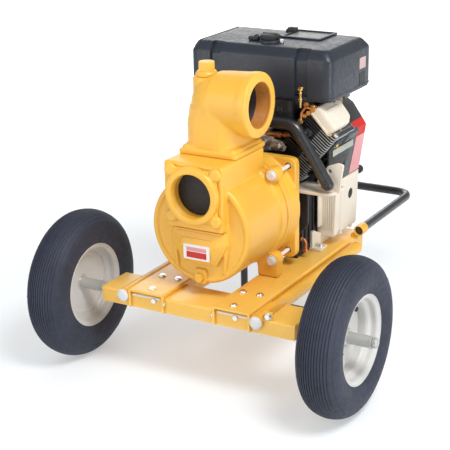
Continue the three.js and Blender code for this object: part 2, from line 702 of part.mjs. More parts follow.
function flywheelShape() {
  const disc = turned([[15, 503], [120, 503], [120, 522], [40, 530], [40, 575], [15, 575], [15, 503]], 24);
  const blades = Array.from({ length: 12 }, (_, k) => new THREE.BoxGeometry(40, 34, 4)
    .translate(98, 535, 0)
    .rotateY(k * Math.PI / 6));
  return cut(join(disc, ...blades), rodY(14.2, 490, 600, 0, 0, 16)).translate([0, 0, SHAFT_Z]);
}

add('fan_housing_base', fanBase(), CREAM);
add('fan_shroud', fanShroud(), BLACK_PAINT);
add('flywheel_fan', flywheelShape(), CAST_IRON);

function oilFilter() {
  return turned([[0, 0], [30, 0], [33, 4], [33, 34], [27, 42], [0, 42]], 20)
    .rotateZ(Math.PI / 2)
    .translate(-112 - GAP, 372, 345);
}

function dipstick() {
  return join(rodZ(4.5, 330, 460, 0, 0, 12), rodZ(8, 458, 482, 0, 0, 12))
    .translate([DIPSTICK_X, DIPSTICK_Y, 0]);
}

add('oil_filter', oilFilter(), BLACK_PAINT);
add('oil_dipstick', dipstick(), BLACK_PAINT);

// ---- fuel tank and its support ----
const HOOP_R = 16;
const HOOP_Y = 305;
const HOOP_TOP = 622;
const HOOP_SHOULDER = 114;
const HOOP_FOOT_X = 212;
const HOOP_FOOT_Z = 458;
const BRACKET_FRONT = HOOP_Y + HOOP_R + GAP;
const CAP_X = -4;
const CAP_Y = 397;

// A round tube over the front of the engine: level across the top, legs splayed out to the bracket.
function hoopShape() {
  const corners = [
    [-HOOP_FOOT_X, HOOP_FOOT_Z], [-HOOP_SHOULDER, HOOP_TOP], [HOOP_SHOULDER, HOOP_TOP],
    [HOOP_FOOT_X, HOOP_FOOT_Z],
  ];
  const path = bentPath(corners.map(([x, z]) => new THREE.Vector3(x, HOOP_Y, z)), 40);
  const ends = [-HOOP_FOOT_X, HOOP_FOOT_X].map((x) => (
    new THREE.SphereGeometry(HOOP_R, 8, 6).translate(x, HOOP_Y, HOOP_FOOT_Z)
  ));
  return join(bar(path, HOOP_R, 18, 8), ...ends);
}

// A plate round the crankcase's neck with a ledge on each side, and an ear behind each foot of the hoop.
function bracketShape() {
  const x = HOOP_FOOT_X + 14;
  const back = NECK_BACK - GAP;
  const outline = polygon([
    [-108, 300], [108, 300], [146, 345], [146, 438], [x, 438], [x, 478], [x - 34, 478], [150, 446],
    [-150, 446], [34 - x, 478], [-x, 478], [-x, 438], [-146, 438], [-146, 345],
  ]);
  const neckHole = rodY(NECK_R + GAP, 300, 340, 0, SHAFT_Z, 20);
  const ledges = [[-x, -CASE_HALF - GAP], [CASE_HALF + GAP, x]].map(([x0, x1]) => (
    box(x0, x1, back - 1, 388, 438, 446)
  ));
  return cut(join(plateY(outline, BRACKET_FRONT, back), ...ledges), neckHole);
}

function tankShape() {
  const outline = (inset) => roundedRect(
    -TANK_HALF + inset, TANK_HALF - inset, TANK_FRONT + inset, TANK_BACK - inset, 21 - inset,
  );
  const low = plateZ(outline(0), TANK_BOTTOM, TANK_TOP - 30);
  const top = plateZ(outline(0), TANK_TOP - 70, TANK_TOP, 18);
  const neck = rodZ(24, TANK_TOP - 6, TANK_TOP + 7, CAP_X, CAP_Y, 16);
  const hollow = plateZ(outline(4), TANK_BOTTOM + 4, TANK_TOP - 24);
  const filler = rodZ(19, TANK_TOP - 30, TANK_TOP + 10, CAP_X, CAP_Y, 16);
  return cut(join(low, top, neck), hollow, filler);
}

function fuelCap() {
  const profile = [[0, 0], [18.5, 0], [18.5, 12.5], [28, 12.5], [28, 24], [24, 28], [0, 28]];
  return turned(profile, 16).rotateX(Math.PI / 2).translate(CAP_X, CAP_Y, TANK_TOP - 5);
}

add('tank_support_hoop', hoopShape(), BLACK_PAINT);
add('tank_support_bracket', bracketShape(), ALUMINIUM);
add('fuel_tank', tankShape(), TANK_PLASTIC);
add('fuel_cap', fuelCap(), TANK_PLASTIC);

// ---- air intake, controls and exhaust ----
const INTAKE_BOTTOM = 602;
const INTAKE_Y = 372;
const EXHAUST_PORT = 224;       // along the left bank, in the middle of its head

// A point of the left bank, out along the cylinder and across it, towards the centre line when positive.
function leftBankPoint(along, across) {
  const [sin, cos] = [Math.sin(V_ANGLE), Math.cos(V_ANGLE)];
  return new THREE.Vector3(cos * across - sin * along, CYLINDER_Y, SHAFT_Z + cos * along + sin * across);
}

function airCleaner() {
  return plateZ(roundedRect(-92, 92, 338, 488, 16), INTAKE_BOTTOM, TANK_BOTTOM - GAP, 6);
}

function carburettor() {
  return join(
    rodZ(26, 560, INTAKE_BOTTOM - GAP, 0, INTAKE_Y, 20),
    symmetricBox(32, INTAKE_Y - 26, INTAKE_Y + 26, 540, 572),
    rodZ(20, 519, 545, 0, INTAKE_Y, 20),
    rodY(13, INTAKE_Y - 38, INTAKE_Y - 22, 0, 556, 16),
  );
}

function throttleLever() {
  return join(rodY(7, 327, 333.7, 0, 0, 12), box(-5, 5, 328, 332, 0, 34), rodY(5, 322, 332, 0, 34, 12))
    .translate([0, 0, 556]);
}

function chokeKnob() {
  return join(rodY(4, 562, 622, 0, 0, 12), rodY(11, 618, 636, 0, 0, 16)).translate([CHOKE_X, 0, CHOKE_Z]);
}

function muffler() {
  return plateY(roundedRect(-244, -168, 296, 388, 26), 336, 470, 5);
}

function exhaustPipe() {
  const path = new THREE.CubicBezierCurve3(
    leftBankPoint(EXHAUST_PORT, -CYLINDER_HALF - GAP), leftBankPoint(EXHAUST_PORT, -CYLINDER_HALF - 40),
    new THREE.Vector3(-206, CYLINDER_Y, 440), new THREE.Vector3(-206, CYLINDER_Y, 388 + GAP),
  );
  return bar(path, 13, 8, 10);
}

add('air_cleaner', airCleaner(), BLACK_PAINT);
add('carburettor', carburettor(), ALUMINIUM);
add('throttle_lever', throttleLever(), ZINC);
add('choke_knob', chokeKnob(), BLACK_PAINT);
add('muffler', muffler(), CAST_IRON);
add('exhaust_pipe', exhaustPipe(), CAST_IRON);

machine.updateMatrixWorld(true);
export default machine;
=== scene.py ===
"""The looks of the trash pump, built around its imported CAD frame. Everything ends up in metres, +Z up.

Shapes are drawn in millimetres on the pump's own axes: x from the pump's centre line, y back from
the axle, z up from the ground. finished() turns them into the row frame's metres.
"""

import math
import random

import bmesh
import bpy
from mathutils import Matrix, Vector


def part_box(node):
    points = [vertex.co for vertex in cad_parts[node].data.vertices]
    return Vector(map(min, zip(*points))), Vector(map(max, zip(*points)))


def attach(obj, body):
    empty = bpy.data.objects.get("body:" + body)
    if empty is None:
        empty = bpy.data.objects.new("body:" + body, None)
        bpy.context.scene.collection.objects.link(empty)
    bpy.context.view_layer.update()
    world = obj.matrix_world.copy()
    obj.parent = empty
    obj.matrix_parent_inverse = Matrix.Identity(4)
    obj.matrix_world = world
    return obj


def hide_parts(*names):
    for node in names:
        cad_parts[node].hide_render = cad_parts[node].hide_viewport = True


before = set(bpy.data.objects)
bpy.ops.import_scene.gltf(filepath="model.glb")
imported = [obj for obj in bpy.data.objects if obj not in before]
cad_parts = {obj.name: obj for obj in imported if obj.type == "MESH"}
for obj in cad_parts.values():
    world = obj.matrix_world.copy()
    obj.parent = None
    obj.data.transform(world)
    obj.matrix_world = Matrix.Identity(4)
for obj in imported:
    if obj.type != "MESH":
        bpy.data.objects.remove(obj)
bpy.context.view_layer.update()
MM = 0.001
SIDES = ((-1, "left"), (1, "right"))


# ---- the pump's own axes, from the frame ----
def mid(node):
    low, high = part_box(node)
    return (low + high) / 2


ORIGIN = Vector((mid("suction_flange").x, mid("left_tyre").y, 0))
TO_ROW = Matrix.Translation(ORIGIN) @ Matrix.Scale(MM, 4)
TO_PUMP = TO_ROW.inverted()


def span(node):
    """A CAD node's lowest and highest corner in millimetres on the pump's axes."""
    low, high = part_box(node)
    return TO_PUMP @ low, TO_PUMP @ high


def centre(node):
    """A CAD node's middle in millimetres on the pump's axes."""
    return TO_PUMP @ mid(node)


# ---- camera, floor and light ----
CAMERA_PLACE = (1.5147, -2.89215, 1.4440)
CAMERA_AZIMUTH, CAMERA_ELEVATION, CAMERA_ROLL = (math.radians(a) for a in (30.06, 19.18, -1.05))
LENS_MM = 99.6
FLOOR_HALF = 30
LIGHT_AIM = Vector((0, 0, 0.4))
# name: place, size, watts
LIGHTS = {
    "key": ((1.9, -1.2, 3.4), 1.3, 98),
    "left_fill": ((-1.6, -3.2, 1.6), 2.0, 34),
    "right_fill": ((3.0, -0.7, 0.8), 0.8, 22),
    "back_sheen": ((-2.0, 3.5, 2.2), 3.0, 45),
}


def add_camera():
    data = bpy.data.cameras.new("camera")
    data.sensor_width = 36
    data.lens = LENS_MM
    camera = to_object(data, "camera")
    turn_to = (
        Matrix.Rotation(CAMERA_AZIMUTH, 4, "Z")
        @ Matrix.Rotation(math.pi / 2 - CAMERA_ELEVATION, 4, "X")
        @ Matrix.Rotation(CAMERA_ROLL, 4, "Z")
    )
    camera.matrix_world = Matrix.Translation(CAMERA_PLACE) @ turn_to
    bpy.context.scene.camera = camera


def add_lights():
    world = bpy.data.worlds.new("studio")
    world.use_nodes = True
    background = world.node_tree.nodes["Background"]
    background.inputs["Color"].default_value = (1, 1, 1, 1)
    background.inputs["Strength"].default_value = 0.44
    bpy.context.scene.world = world
    bpy.context.scene.view_settings.view_transform = "Standard"
    for name, (place, size, watts) in LIGHTS.items():
        data = bpy.data.lights.new(name, "AREA")
        data.size = size
        data.energy = watts
        lamp = to_object(data, name)
        lamp.location = place
        lamp.rotation_euler = (LIGHT_AIM - Vector(place)).to_track_quat("-Z", "Y").to_euler()


def add_floor():
    mesh = bpy.data.meshes.new("floor")
    corners = [(x * FLOOR_HALF, y * FLOOR_HALF, 0) for x, y in ((-1, -1), (1, -1), (1, 1), (-1, 1))]
    mesh.from_pydata(corners, [], [(0, 1, 2, 3)])
    mesh.materials.append(glowing_floor())
    floor = to_object(mesh, "floor")
    floor.location.z = -0.0005


# ---- materials ----
class Finish:
    """A Principled material, with helpers for the procedural nodes that feed it."""

    def __init__(self, name, roughness, metallic=0.0, **sockets):
        self.material = bpy.data.materials.new(name)
        self.material.use_nodes = True
        self.nodes = self.material.node_tree.nodes
        self.links = self.material.node_tree.links
        self.shader = self.nodes["Principled BSDF"]
        self.shader.inputs["Roughness"].default_value = roughness
        self.shader.inputs["Metallic"].default_value = metallic
        for socket, value in sockets.items():
            self.shader.inputs[socket.replace("_", " ").title()].default_value = value
        self.place = self.nodes.new("ShaderNodeTexCoord").outputs["Object"]

    def link(self, source, node, socket):
        self.links.new(source, node.inputs[socket])

    def noise(self, scale, detail=3, roughness=0.5):
        node = self.nodes.new("ShaderNodeTexNoise")
        node.inputs["Scale"].default_value = scale
        node.inputs["Detail"].default_value = detail
        node.inputs["Roughness"].default_value = roughness
        self.link(self.place, node, "Vector")
        return node.outputs["Fac"]

    def drift(self, color, variation, scale, detail):
        """The colour, slowly drifting darker and lighter."""
        dark, light = scaled(color, 1 - variation), scaled(color, 1 + variation)
        return self.ramp(self.noise(scale, detail), dark, light)

    def ramp(self, source, dark, light):
        """A ramp between two colours over the middle of a noise."""
        node = self.nodes.new("ShaderNodeValToRGB")
        for element, position, color in zip(node.color_ramp.elements, (0.3, 0.7), (dark, light)):
            element.position = position
            element.color = (*color, 1)
        self.link(source, node, "Fac")
        return node.outputs["Color"]

    def levels(self, source, low, high, start, end):
        node = self.nodes.new("ShaderNodeMapRange")
        for socket, value in (("From Min", start), ("From Max", end), ("To Min", low), ("To Max", high)):
            node.inputs[socket].default_value = value
        self.link(source, node, "Value")
        return node.outputs["Result"]

    def blend(self, factor, under, over):
        """A plain colour laid over another one by a factor."""
        node = self.nodes.new("ShaderNodeMix")
        node.data_type = "RGBA"
        colors = {i.name: i for i in node.inputs if i.type == "RGBA"}
        self.links.new(under, colors["A"])
        colors["B"].default_value = (*over, 1)
        self.link(factor, node, "Factor")
        return next(o for o in node.outputs if o.type == "RGBA")

    def pointiness(self):
        return self.nodes.new("ShaderNodeNewGeometry").outputs["Pointiness"]

    def color(self, source):
        self.link(source, self.shader, "Base Color")

    def roughness(self, scale, detail, low, high):
        """A roughness that wanders between two values."""
        self.link(self.levels(self.noise(scale, detail), low, high, 0.3, 0.7), self.shader, "Roughness")

    def bump(self, height, distance):
        node = self.nodes.new("ShaderNodeBump")
        node.inputs["Distance"].default_value = distance
        if self.shader.inputs["Normal"].is_linked:
            self.link(self.shader.inputs["Normal"].links[0].from_socket, node, "Normal")
        self.link(height, node, "Height")
        self.link(node.outputs["Normal"], self.shader, "Normal")


def scaled(color, factor):
    return tuple(min(1, c * factor) for c in color)


def painted(name, color, roughness, grain=0.0, coat=0.0, edge=None, variation=0.08, metallic=0.0):
    """Paint with slow colour drift, small specks and an orange-peel or cast grain."""
    f = Finish(name, roughness, metallic, coat_weight=coat, coat_roughness=0.15)
    base = f.drift(color, variation, 7, 4)
    specks = f.levels(f.noise(420, 2), 0, 0.35, 0.66, 0.8)
    base = f.blend(specks, base, scaled(color, 0.6))
    # painted highlight: sharp edges, picked out by pointiness, are lightened towards the edge colour as if
    # they catch the light
    if edge:
        edge_highlight = f.levels(f.pointiness(), 0, 0.55, 0.53, 0.62)
        base = f.blend(edge_highlight, base, edge)
    f.color(base)
    f.roughness(60, 3, roughness - 0.07, roughness + 0.1)
    f.bump(f.noise(900, 2), 0.00008)
    if grain:
        f.bump(f.noise(260, 4, 0.65), grain)
    return f.material


def bare_metal(name, color, roughness, scratch=0.00006):
    f = Finish(name, roughness, 1.0)
    f.color(f.ramp(f.noise(30, 5), scaled(color, 0.82), scaled(color, 1.1)))
    f.roughness(160, 4, roughness - 0.08, roughness + 0.12)
    f.bump(f.noise(700, 3), scratch)
    return f.material


def moulded(name, color, roughness, grain, variation=0.12):
    """Rubber or plastic with the fine grain of its mould."""
    f = Finish(name, roughness)
    f.color(f.drift(color, variation, 14, 4))
    f.roughness(90, 4, roughness - 0.08, roughness + 0.1)
    f.bump(f.noise(1400, 3, 0.6), grain)
    return f.material


def glowing_floor():
    """A matt white sweep that glows a little, and more with the distance from the pump."""
    f = Finish("floor", 0.9)
    f.shader.inputs["Emission Color"].default_value = (1, 1, 1, 1)
    distance = f.nodes.new("ShaderNodeVectorMath")
    distance.operation = "LENGTH"
    f.link(f.place, distance, "Vector")
    f.link(f.levels(distance.outputs["Value"], 0.4, 1.0, 0.9, 3.5), f.shader, "Emission Strength")
    f.color(f.ramp(f.noise(3), (0.57, 0.6, 0.625), (0.585, 0.615, 0.64)))
    return f.material


YELLOW = (0.8, 0.43, 0.045)
# edge is the colour of the painted highlight along sharp edges
PAINTED = {
    "yellow_paint": dict(color=YELLOW, roughness=0.38, coat=0.25, edge=(0.95, 0.62, 0.16)),
    "yellow_cast_iron": dict(color=YELLOW, roughness=0.42, grain=0.00035, coat=0.2),
    "black_paint": dict(color=(0.016, 0.017, 0.02), roughness=0.32, coat=0.3, edge=(0.07, 0.07, 0.08)),
    "rim_paint": dict(color=(0.56, 0.55, 0.53), roughness=0.4, edge=(0.62, 0.6, 0.57)),
    "cream_paint": dict(color=(0.73, 0.66, 0.55), roughness=0.42, grain=0.00012),
    "red_paint": dict(color=(0.52, 0.016, 0.01), roughness=0.55),
    "pink_paint": dict(color=(0.68, 0.29, 0.3), roughness=0.45),
    "label_white": dict(color=(0.78, 0.74, 0.74), roughness=0.4, variation=0.03),
    "label_pink": dict(color=(0.5, 0.34, 0.34), roughness=0.4, variation=0.05),
    "plate_green": dict(color=(0.42, 0.44, 0.36), roughness=0.45, metallic=0.3),
    "hub_steel": dict(color=(0.52, 0.52, 0.5), roughness=0.38, metallic=0.4),
    "plug_white": dict(color=(0.7, 0.69, 0.68), roughness=0.3),
    "black_aluminium": dict(color=(0.013, 0.013, 0.015), roughness=0.5, grain=0.0002),
    "slate": dict(color=(0.05, 0.075, 0.1), roughness=0.4),
    # painted shade for the insides of bores: a darker orange near the mouth and near black deeper in
    "bore_orange": dict(color=(0.5, 0.19, 0.022), roughness=0.55, grain=0.0003),
    "bore_iron": dict(color=(0.035, 0.018, 0.016), roughness=0.6, grain=0.0003),
}
METALS = {
    "zinc": dict(color=(0.82, 0.82, 0.83), roughness=0.28),
    "aluminium": dict(color=(0.86, 0.86, 0.87), roughness=0.36, scratch=0.0001),
    "cast_iron": dict(color=(0.16, 0.155, 0.15), roughness=0.6, scratch=0.0003),
    "dark_fins": dict(color=(0.17, 0.17, 0.18), roughness=0.45, scratch=0.00015),
    "bright_fins": dict(color=(0.8, 0.79, 0.78), roughness=0.35, scratch=0.0001),
    "brass": dict(color=(0.72, 0.46, 0.16), roughness=0.3),
    "copper": dict(color=(0.6, 0.25, 0.1), roughness=0.35),
}
MOULDED = {
    "rubber": dict(color=(0.011, 0.009, 0.008), roughness=0.6, grain=0.0002),
    "matte_plastic": dict(color=(0.02, 0.021, 0.024), roughness=0.5, grain=0.00012),
    "tank_plastic": dict(color=(0.017, 0.022, 0.033), roughness=0.4, grain=0.00014),
    "pale_pad": dict(color=(0.22, 0.23, 0.215), roughness=0.4, grain=0.0001),
    "tyre": dict(color=(0.02, 0.025, 0.046), roughness=0.62, grain=0.00022, variation=0.2),
}
PAINTS = {
    name: make(name, **look)
    for make, table in ((painted, PAINTED), (bare_metal, METALS), (moulded, MOULDED))
    for name, look in table.items()
}


# ---- solids: temporary objects in millimetres, joined and cut, then finished as pieces ----
def to_object(data, name="solid"):
    made = bpy.data.objects.new(name, data)
    bpy.context.scene.collection.objects.link(made)
    return made


def solid(verts, faces):
    """A closed body from its points and faces, with every face turned outwards."""
    mesh = bpy.data.meshes.new("solid")
    mesh.from_pydata(verts, [], faces)
    return outward(to_object(mesh))


def outward(body):
    working = bmesh.new()
    working.from_mesh(body.data)
    bmesh.ops.recalc_face_normals(working, faces=working.faces)
    if working.calc_volume(signed=True) < 0:
        bmesh.ops.reverse_faces(working, faces=working.faces)
    working.to_mesh(body.data)
    working.free()
    return body


def apply(body, kind, **settings):
    modifier = body.modifiers.new(kind, kind)
    for key, value in settings.items():
        setattr(modifier, key, value)
    depsgraph = bpy.context.evaluated_depsgraph_get()
    mesh = bpy.data.meshes.new_from_object(body.evaluated_get(depsgraph), depsgraph=depsgraph)
    old = body.data
    body.modifiers.clear()
    body.data = mesh
    bpy.data.meshes.remove(old)
    return body


def discard(body):
    mesh = body.data
    bpy.data.objects.remove(body)
    bpy.data.meshes.remove(mesh)


def combine(operation, body, tools):
    for tool in tools:
        apply(body, "BOOLEAN", object=tool, operation=operation, solver="MANIFOLD")
        discard(tool)
    return body


def union(body, *tools):
    return combine("UNION", body, tools)


def cut(body, *tools):
    return combine("DIFFERENCE", body, tools)


def bevelled(body, width, segments=3, angle=35):
    limit = math.radians(angle)
    return apply(body, "BEVEL", width=width, segments=segments, limit_method="ANGLE", angle_limit=limit)


def cast(body, voxel, smooth):
    """Blends a rough body's corners the way a sand casting's are."""
    apply(body, "REMESH", mode="VOXEL", voxel_size=voxel)
    return apply(body, "SMOOTH", factor=0.5, iterations=smooth)


def moved(body, matrix):
    body.data.transform(matrix)
    return body


def copy(body):
    return to_object(body.data.copy())


def merged(bodies):
    """Several separate bodies as one object."""
    first, *others = bodies
    working = bmesh.new()
    for body in bodies:
        working.from_mesh(body.data)
    working.to_mesh(first.data)
    working.free()
    for body in others:
        discard(body)
    return first


# ---- outlines ----
def fillet(points, radius, closed=True, steps=5):
    """The points with each corner rounded; radius is one number or one for each point."""
    points = [Vector(p).to_3d() for p in points]
    count = len(points)
    radii = radius if isinstance(radius, list) else [radius] * count
    result = []
    for i, (point, r) in enumerate(zip(points, radii)):
        if r == 0 or (not closed and i in (0, count - 1)):
            result.append(point)
            continue
        before, after = points[i - 1] - point, points[(i + 1) % count] - point
        half = before.angle(after) / 2
        if half > math.pi / 2 - 0.01:
            result.append(point)
            continue
        reach = min(r / math.tan(half), before.length * 0.49, after.length * 0.49)
        start, end = point + before.normalized() * reach, point + after.normalized() * reach
        for k in range(steps + 1):
            t = k / steps
            result.append(start * (1 - t) ** 2 + point * 2 * t * (1 - t) + end * t**2)
    return result


def rectangle(x0, x1, y0, y1, radius=0.0):
    corners = [(x0, y0), (x1, y0), (x1, y1), (x0, y1)]
    return fillet(corners, radius) if radius else corners


def turn(count, start=0.0):
    """Equal angles round a circle."""
    return [start + 2 * math.pi * k / count for k in range(count)]


def circle(radius, count):
    """Points (x, y) round a circle."""
    return [(radius * math.cos(a), radius * math.sin(a)) for a in turn(count)]


def half_circle(radius, steps=32):
    """A ball's profile for lathe()."""
    angles = [math.pi * k / steps for k in range(steps + 1)]
    return [(radius * math.sin(a), -radius * math.cos(a)) for a in angles]


def smooth_line(points, steps):
    """A Catmull-Rom curve through the points."""
    points = [Vector(p).to_3d() for p in points]
    ends = [2 * points[0] - points[1], *points, 2 * points[-1] - points[-2]]
    line = []
    for a, b, c, d in zip(ends, ends[1:], ends[2:], ends[3:]):
        bend = 2 * a - 5 * b + 4 * c - d
        twist = 3 * b - a - 3 * c + d
        for k in range(steps):
            t = k / steps
            line.append(0.5 * (2 * b + (c - a) * t + bend * t**2 + twist * t**3))
    return [*line, points[-1]]


def sheet(line, thickness):
    """A closed outline for pressed sheet of one thickness along a line of (radius, height)."""
    line = [Vector(p).to_3d() for p in line]
    sides = ([], [])
    for i, point in enumerate(line):
        along = (line[min(i + 1, len(line) - 1)] - line[max(i - 1, 0)]).normalized()
        across = Vector((-along.y, along.x, 0)) * thickness / 2
        sides[0].append(tuple((point + across)[:2]))
        sides[1].append(tuple((point - across)[:2]))
    return sides[0] + sides[1][::-1]


def channel(x0, x1, z0, z1, wall, radius):
    """The outline of an inverted channel."""
    outside = [(x0, z0), (x0, z1), (x1, z1), (x1, z0)]
    inside = [(x1 - wall, z0), (x1 - wall, z1 - wall), (x0 + wall, z1 - wall), (x0 + wall, z0)]
    return fillet(outside + inside, [1, radius, radius, 1, 1, 3, 3, 1])


def out(side, a, b):
    """The (low, high) range along x between two distances out on one side."""
    return sorted((side * a, side * b))


def handed(side, outline):
    """A right-hand outline of (x, z) points, turned over when the side is the left one."""
    return [(side * p[0], p[1]) for p in outline][::side]


# ---- basic solids ----
AXES = {"X": Matrix.Rotation(math.pi / 2, 4, "Y"), "Y": Matrix.Rotation(-math.pi / 2, 4, "X"), "Z": Matrix()}
PLANES = {
    "X": Matrix(((0, 0, 1, 0), (1, 0, 0, 0), (0, 1, 0, 0), (0, 0, 0, 1))),
    "Y": Matrix(((1, 0, 0, 0), (0, 0, 1, 0), (0, 1, 0, 0), (0, 0, 0, 1))),
    "Z": Matrix(),
}


def lathe(profile, at=(0, 0, 0), axis="Z", sides=96):
    """A solid turned about an axis from a closed profile of (radius, height)."""
    rings = []
    verts = []
    for r, h, *_ in profile:
        if r < 1e-6:
            rings.append([len(verts)] * sides)
            verts.append((0, 0, h))
            continue
        rings.append(list(range(len(verts), len(verts) + sides)))
        verts.extend((x, y, h) for x, y in circle(r, sides))
    faces = []
    for ring, after in zip(rings, rings[1:] + rings[:1]):
        for k in range(sides):
            face = [ring[k], ring[(k + 1) % sides], after[(k + 1) % sides], after[k]]
            corners = list(dict.fromkeys(face))
            if len(corners) > 2:
                faces.append(corners)
    return moved(solid(verts, faces), Matrix.Translation(at) @ AXES[axis])


def turned(profile, radii, at=(0, 0, 0), axis="Z", sides=96):
    """A lathed solid with its corners rounded."""
    return lathe(fillet(profile, radii), at, axis, sides)


def on_axis(at, axis):
    """The point with its coordinate along the axis set to zero."""
    place = Vector(at)
    place["XYZ".index(axis)] = 0
    return place


def rod(radius, start, end, at, axis="Z", sides=64, edge=0.0):
    """A round rod from start to end along an axis; at gives its other two coordinates as a full point."""
    e = min(edge, radius * 0.9)
    if e:
        lower = [(0, start), (radius - e, start), (radius, start + e)]
        upper = [(radius, end - e), (radius - e, end), (0, end)]
        profile = fillet(lower + upper, [0, e, e, e, e, 0])
    else:
        profile = [(0, start), (radius, start), (radius, end), (0, end)]
    return lathe(profile, on_axis(at, axis), axis, sides)


def prism(outline, low, high, axis="Z", edge=0.0, segments=3):
    """An outline in the two other axes, in their usual order, extruded from low to high along an axis."""
    mesh = bpy.data.meshes.new("prism")
    count = len(outline)
    verts = [(p[0], p[1], h) for h in (low, high) for p in outline]
    sides = [(k, (k + 1) % count, count + (k + 1) % count, count + k) for k in range(count)]
    mesh.from_pydata(verts, [], sides + [tuple(range(count))[::-1], tuple(range(count, 2 * count))])
    made = outward(moved(to_object(mesh), PLANES[axis]))
    return bevelled(made, edge, segments) if edge else made


def block(x, y, z, edge=0.0, segments=3):
    """A box over three (low, high) ranges."""
    return prism(rectangle(*x, *y), *z, "Z", edge, segments)


def loft(rings):
    """A solid through outlines of equally many points, each with its height."""
    count = len(rings[0][0])
    verts = [(p[0], p[1], z) for outline, z in rings for p in outline]
    faces = [tuple(range(count)), tuple(range(len(verts) - count, len(verts)))]
    for k in range(len(rings) - 1):
        a, b = k * count, (k + 1) * count
        faces += [(a + i, a + (i + 1) % count, b + (i + 1) % count, b + i) for i in range(count)]
    return solid(verts, faces)


def sweep(path, radius, sides=24, closed=False):
    """A round bar along a path of points, with flat ends."""
    path = [Vector(p) for p in path]
    verts = []
    count = len(path)
    side = None
    for i, point in enumerate(path):
        ahead = path[(i + 1) % count] if closed or i < count - 1 else point
        behind = path[i - 1] if closed or i > 0 else point
        along = (ahead - behind).normalized()
        if side is None:
            side = along.orthogonal().normalized()
        side = (side - along * side.dot(along)).normalized()
        up = along.cross(side)
        verts += [point + radius * (math.cos(a) * side + math.sin(a) * up) for a in turn(sides)]
    faces = []
    for i in range(count if closed else count - 1):
        a, b = i * sides, ((i + 1) % count) * sides
        faces.extend((a + k, a + (k + 1) % sides, b + (k + 1) % sides, b + k) for k in range(sides))
    if not closed:
        faces.append(tuple(range(sides)))
        faces.append(tuple(range((count - 1) * sides, count * sides)))
    return solid(verts, faces)


def bar(corners, bend, radius, sides, steps=5):
    """A round bar through corners, each bent to a radius."""
    return sweep(fillet(corners, bend, False, steps), radius, sides)


def hex_head(at, axis, sign, across, height, washer=0.0):
    """A hexagon head with its chamfer, standing on a face; sign says which way it points."""
    r = across / math.sqrt(3)
    head = prism(circle(r, 6), 0, height, "Z")
    top, shoulder = height + 0.001, height - 0.32 * r
    dome = lathe([(0, -1), (r * 1.2, -1), (r * 1.2, shoulder), (r * 0.84, top), (0, top)], sides=32)
    bodies = [combine("INTERSECT", head, [dome])]
    if washer:
        disc = [(0, -0.2), (washer, -0.2), (washer, 1.8), (washer - 0.6, 2.4), (0, 2.4)]
        bodies.append(lathe(disc, sides=32))
    flip = Matrix() if sign > 0 else Matrix.Rotation(math.pi, 4, "X")
    return moved(merged(bodies), Matrix.Translation(at) @ AXES[axis] @ flip)


# ---- pieces ----
def finished(body, name, slot, node=None, ride="cart", finish=None, smooth=32):
    """Turns a solid into a named piece in the row frame, standing for a CAD node if one is named."""
    body.name = name
    body.data.name = name
    body.data.transform(TO_ROW)
    body.data.materials.clear()
    body.data.materials.append(PAINTS[finish or slot])
    body.data.polygons.foreach_set("use_smooth", [True] * len(body.data.polygons))
    body.data.set_sharp_from_angle(angle=math.radians(smooth))
    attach(body, ride)
    if node:
        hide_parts(node)
    return body


def lined(body, paint, inside):
    """Gives another finish to the faces whose middle, in pump millimetres, passes a test."""
    body.data.materials.append(PAINTS[paint])
    index = len(body.data.materials) - 1
    for face in body.data.polygons:
        if inside(TO_PUMP @ face.center):
            face.material_index = index


# ---- wheels ----
TYRE_LOW, TYRE_HIGH = span("left_tyre")
WHEEL_R = TYRE_HIGH.z / 2
HALF_TREAD = (TYRE_HIGH.x - TYRE_LOW.x) / 2
HUB_HALF = 66
GROOVE_PITCH, GROOVE_DEPTH = 6.6, 2.6


def tyre_profile():
    bead = [(104, 37), (107, 40.5), (112, 42), (114, 44.5)]
    sidewall = [(126, 49.5), (141, 53), (153, HALF_TREAD - 0.1), (165, 52.3), (176, 48.5)]
    tread = [(178, 46.2), (186, 40.5), (192.5, 31.5), (197, 20), (199.3, 9), (WHEEL_R, 0)]
    grooves = [3.4 + GROOVE_PITCH * k for k in range(6)]
    outer = []
    for p in smooth_line(bead + sidewall + tread, 12):
        depth = 0
        if p.x > 188:
            depth = max(1 - abs((p.y - g) / 1.5) ** 3 for g in grooves)
        outer.append((p.x - GROOVE_DEPTH * max(0, depth), p.y))
    mirror = [(r, -h) for r, h in reversed(outer[:-1])]
    inside = [(103.6, -30), (140, -45), (184, -26), (186, 0), (184, 26), (140, 45), (103.6, 30)]
    return [*outer, *mirror, *inside]


def vent_nubs():
    """The short rubber whiskers that moulding leaves on the sidewalls."""
    shuffled = random.Random(7)
    nubs = []
    for side in (-1, 1):
        for a in turn(16, 0.2):
            r, z = shuffled.choice([(122, 47.6), (168, 51.2), (181, 43.6)])
            angle = a + shuffled.uniform(-0.12, 0.12)
            nub = lathe([(0, -1.5), (1.0, -1.5), (0.8, 2.4), (0, 2.4)], sides=8)
            place = Matrix.Translation((r * math.cos(angle), r * math.sin(angle), side * z))
            moved(nub, place @ (Matrix() if side > 0 else Matrix.Rotation(math.pi, 4, "X")))
            nubs.append(nub)
    return nubs


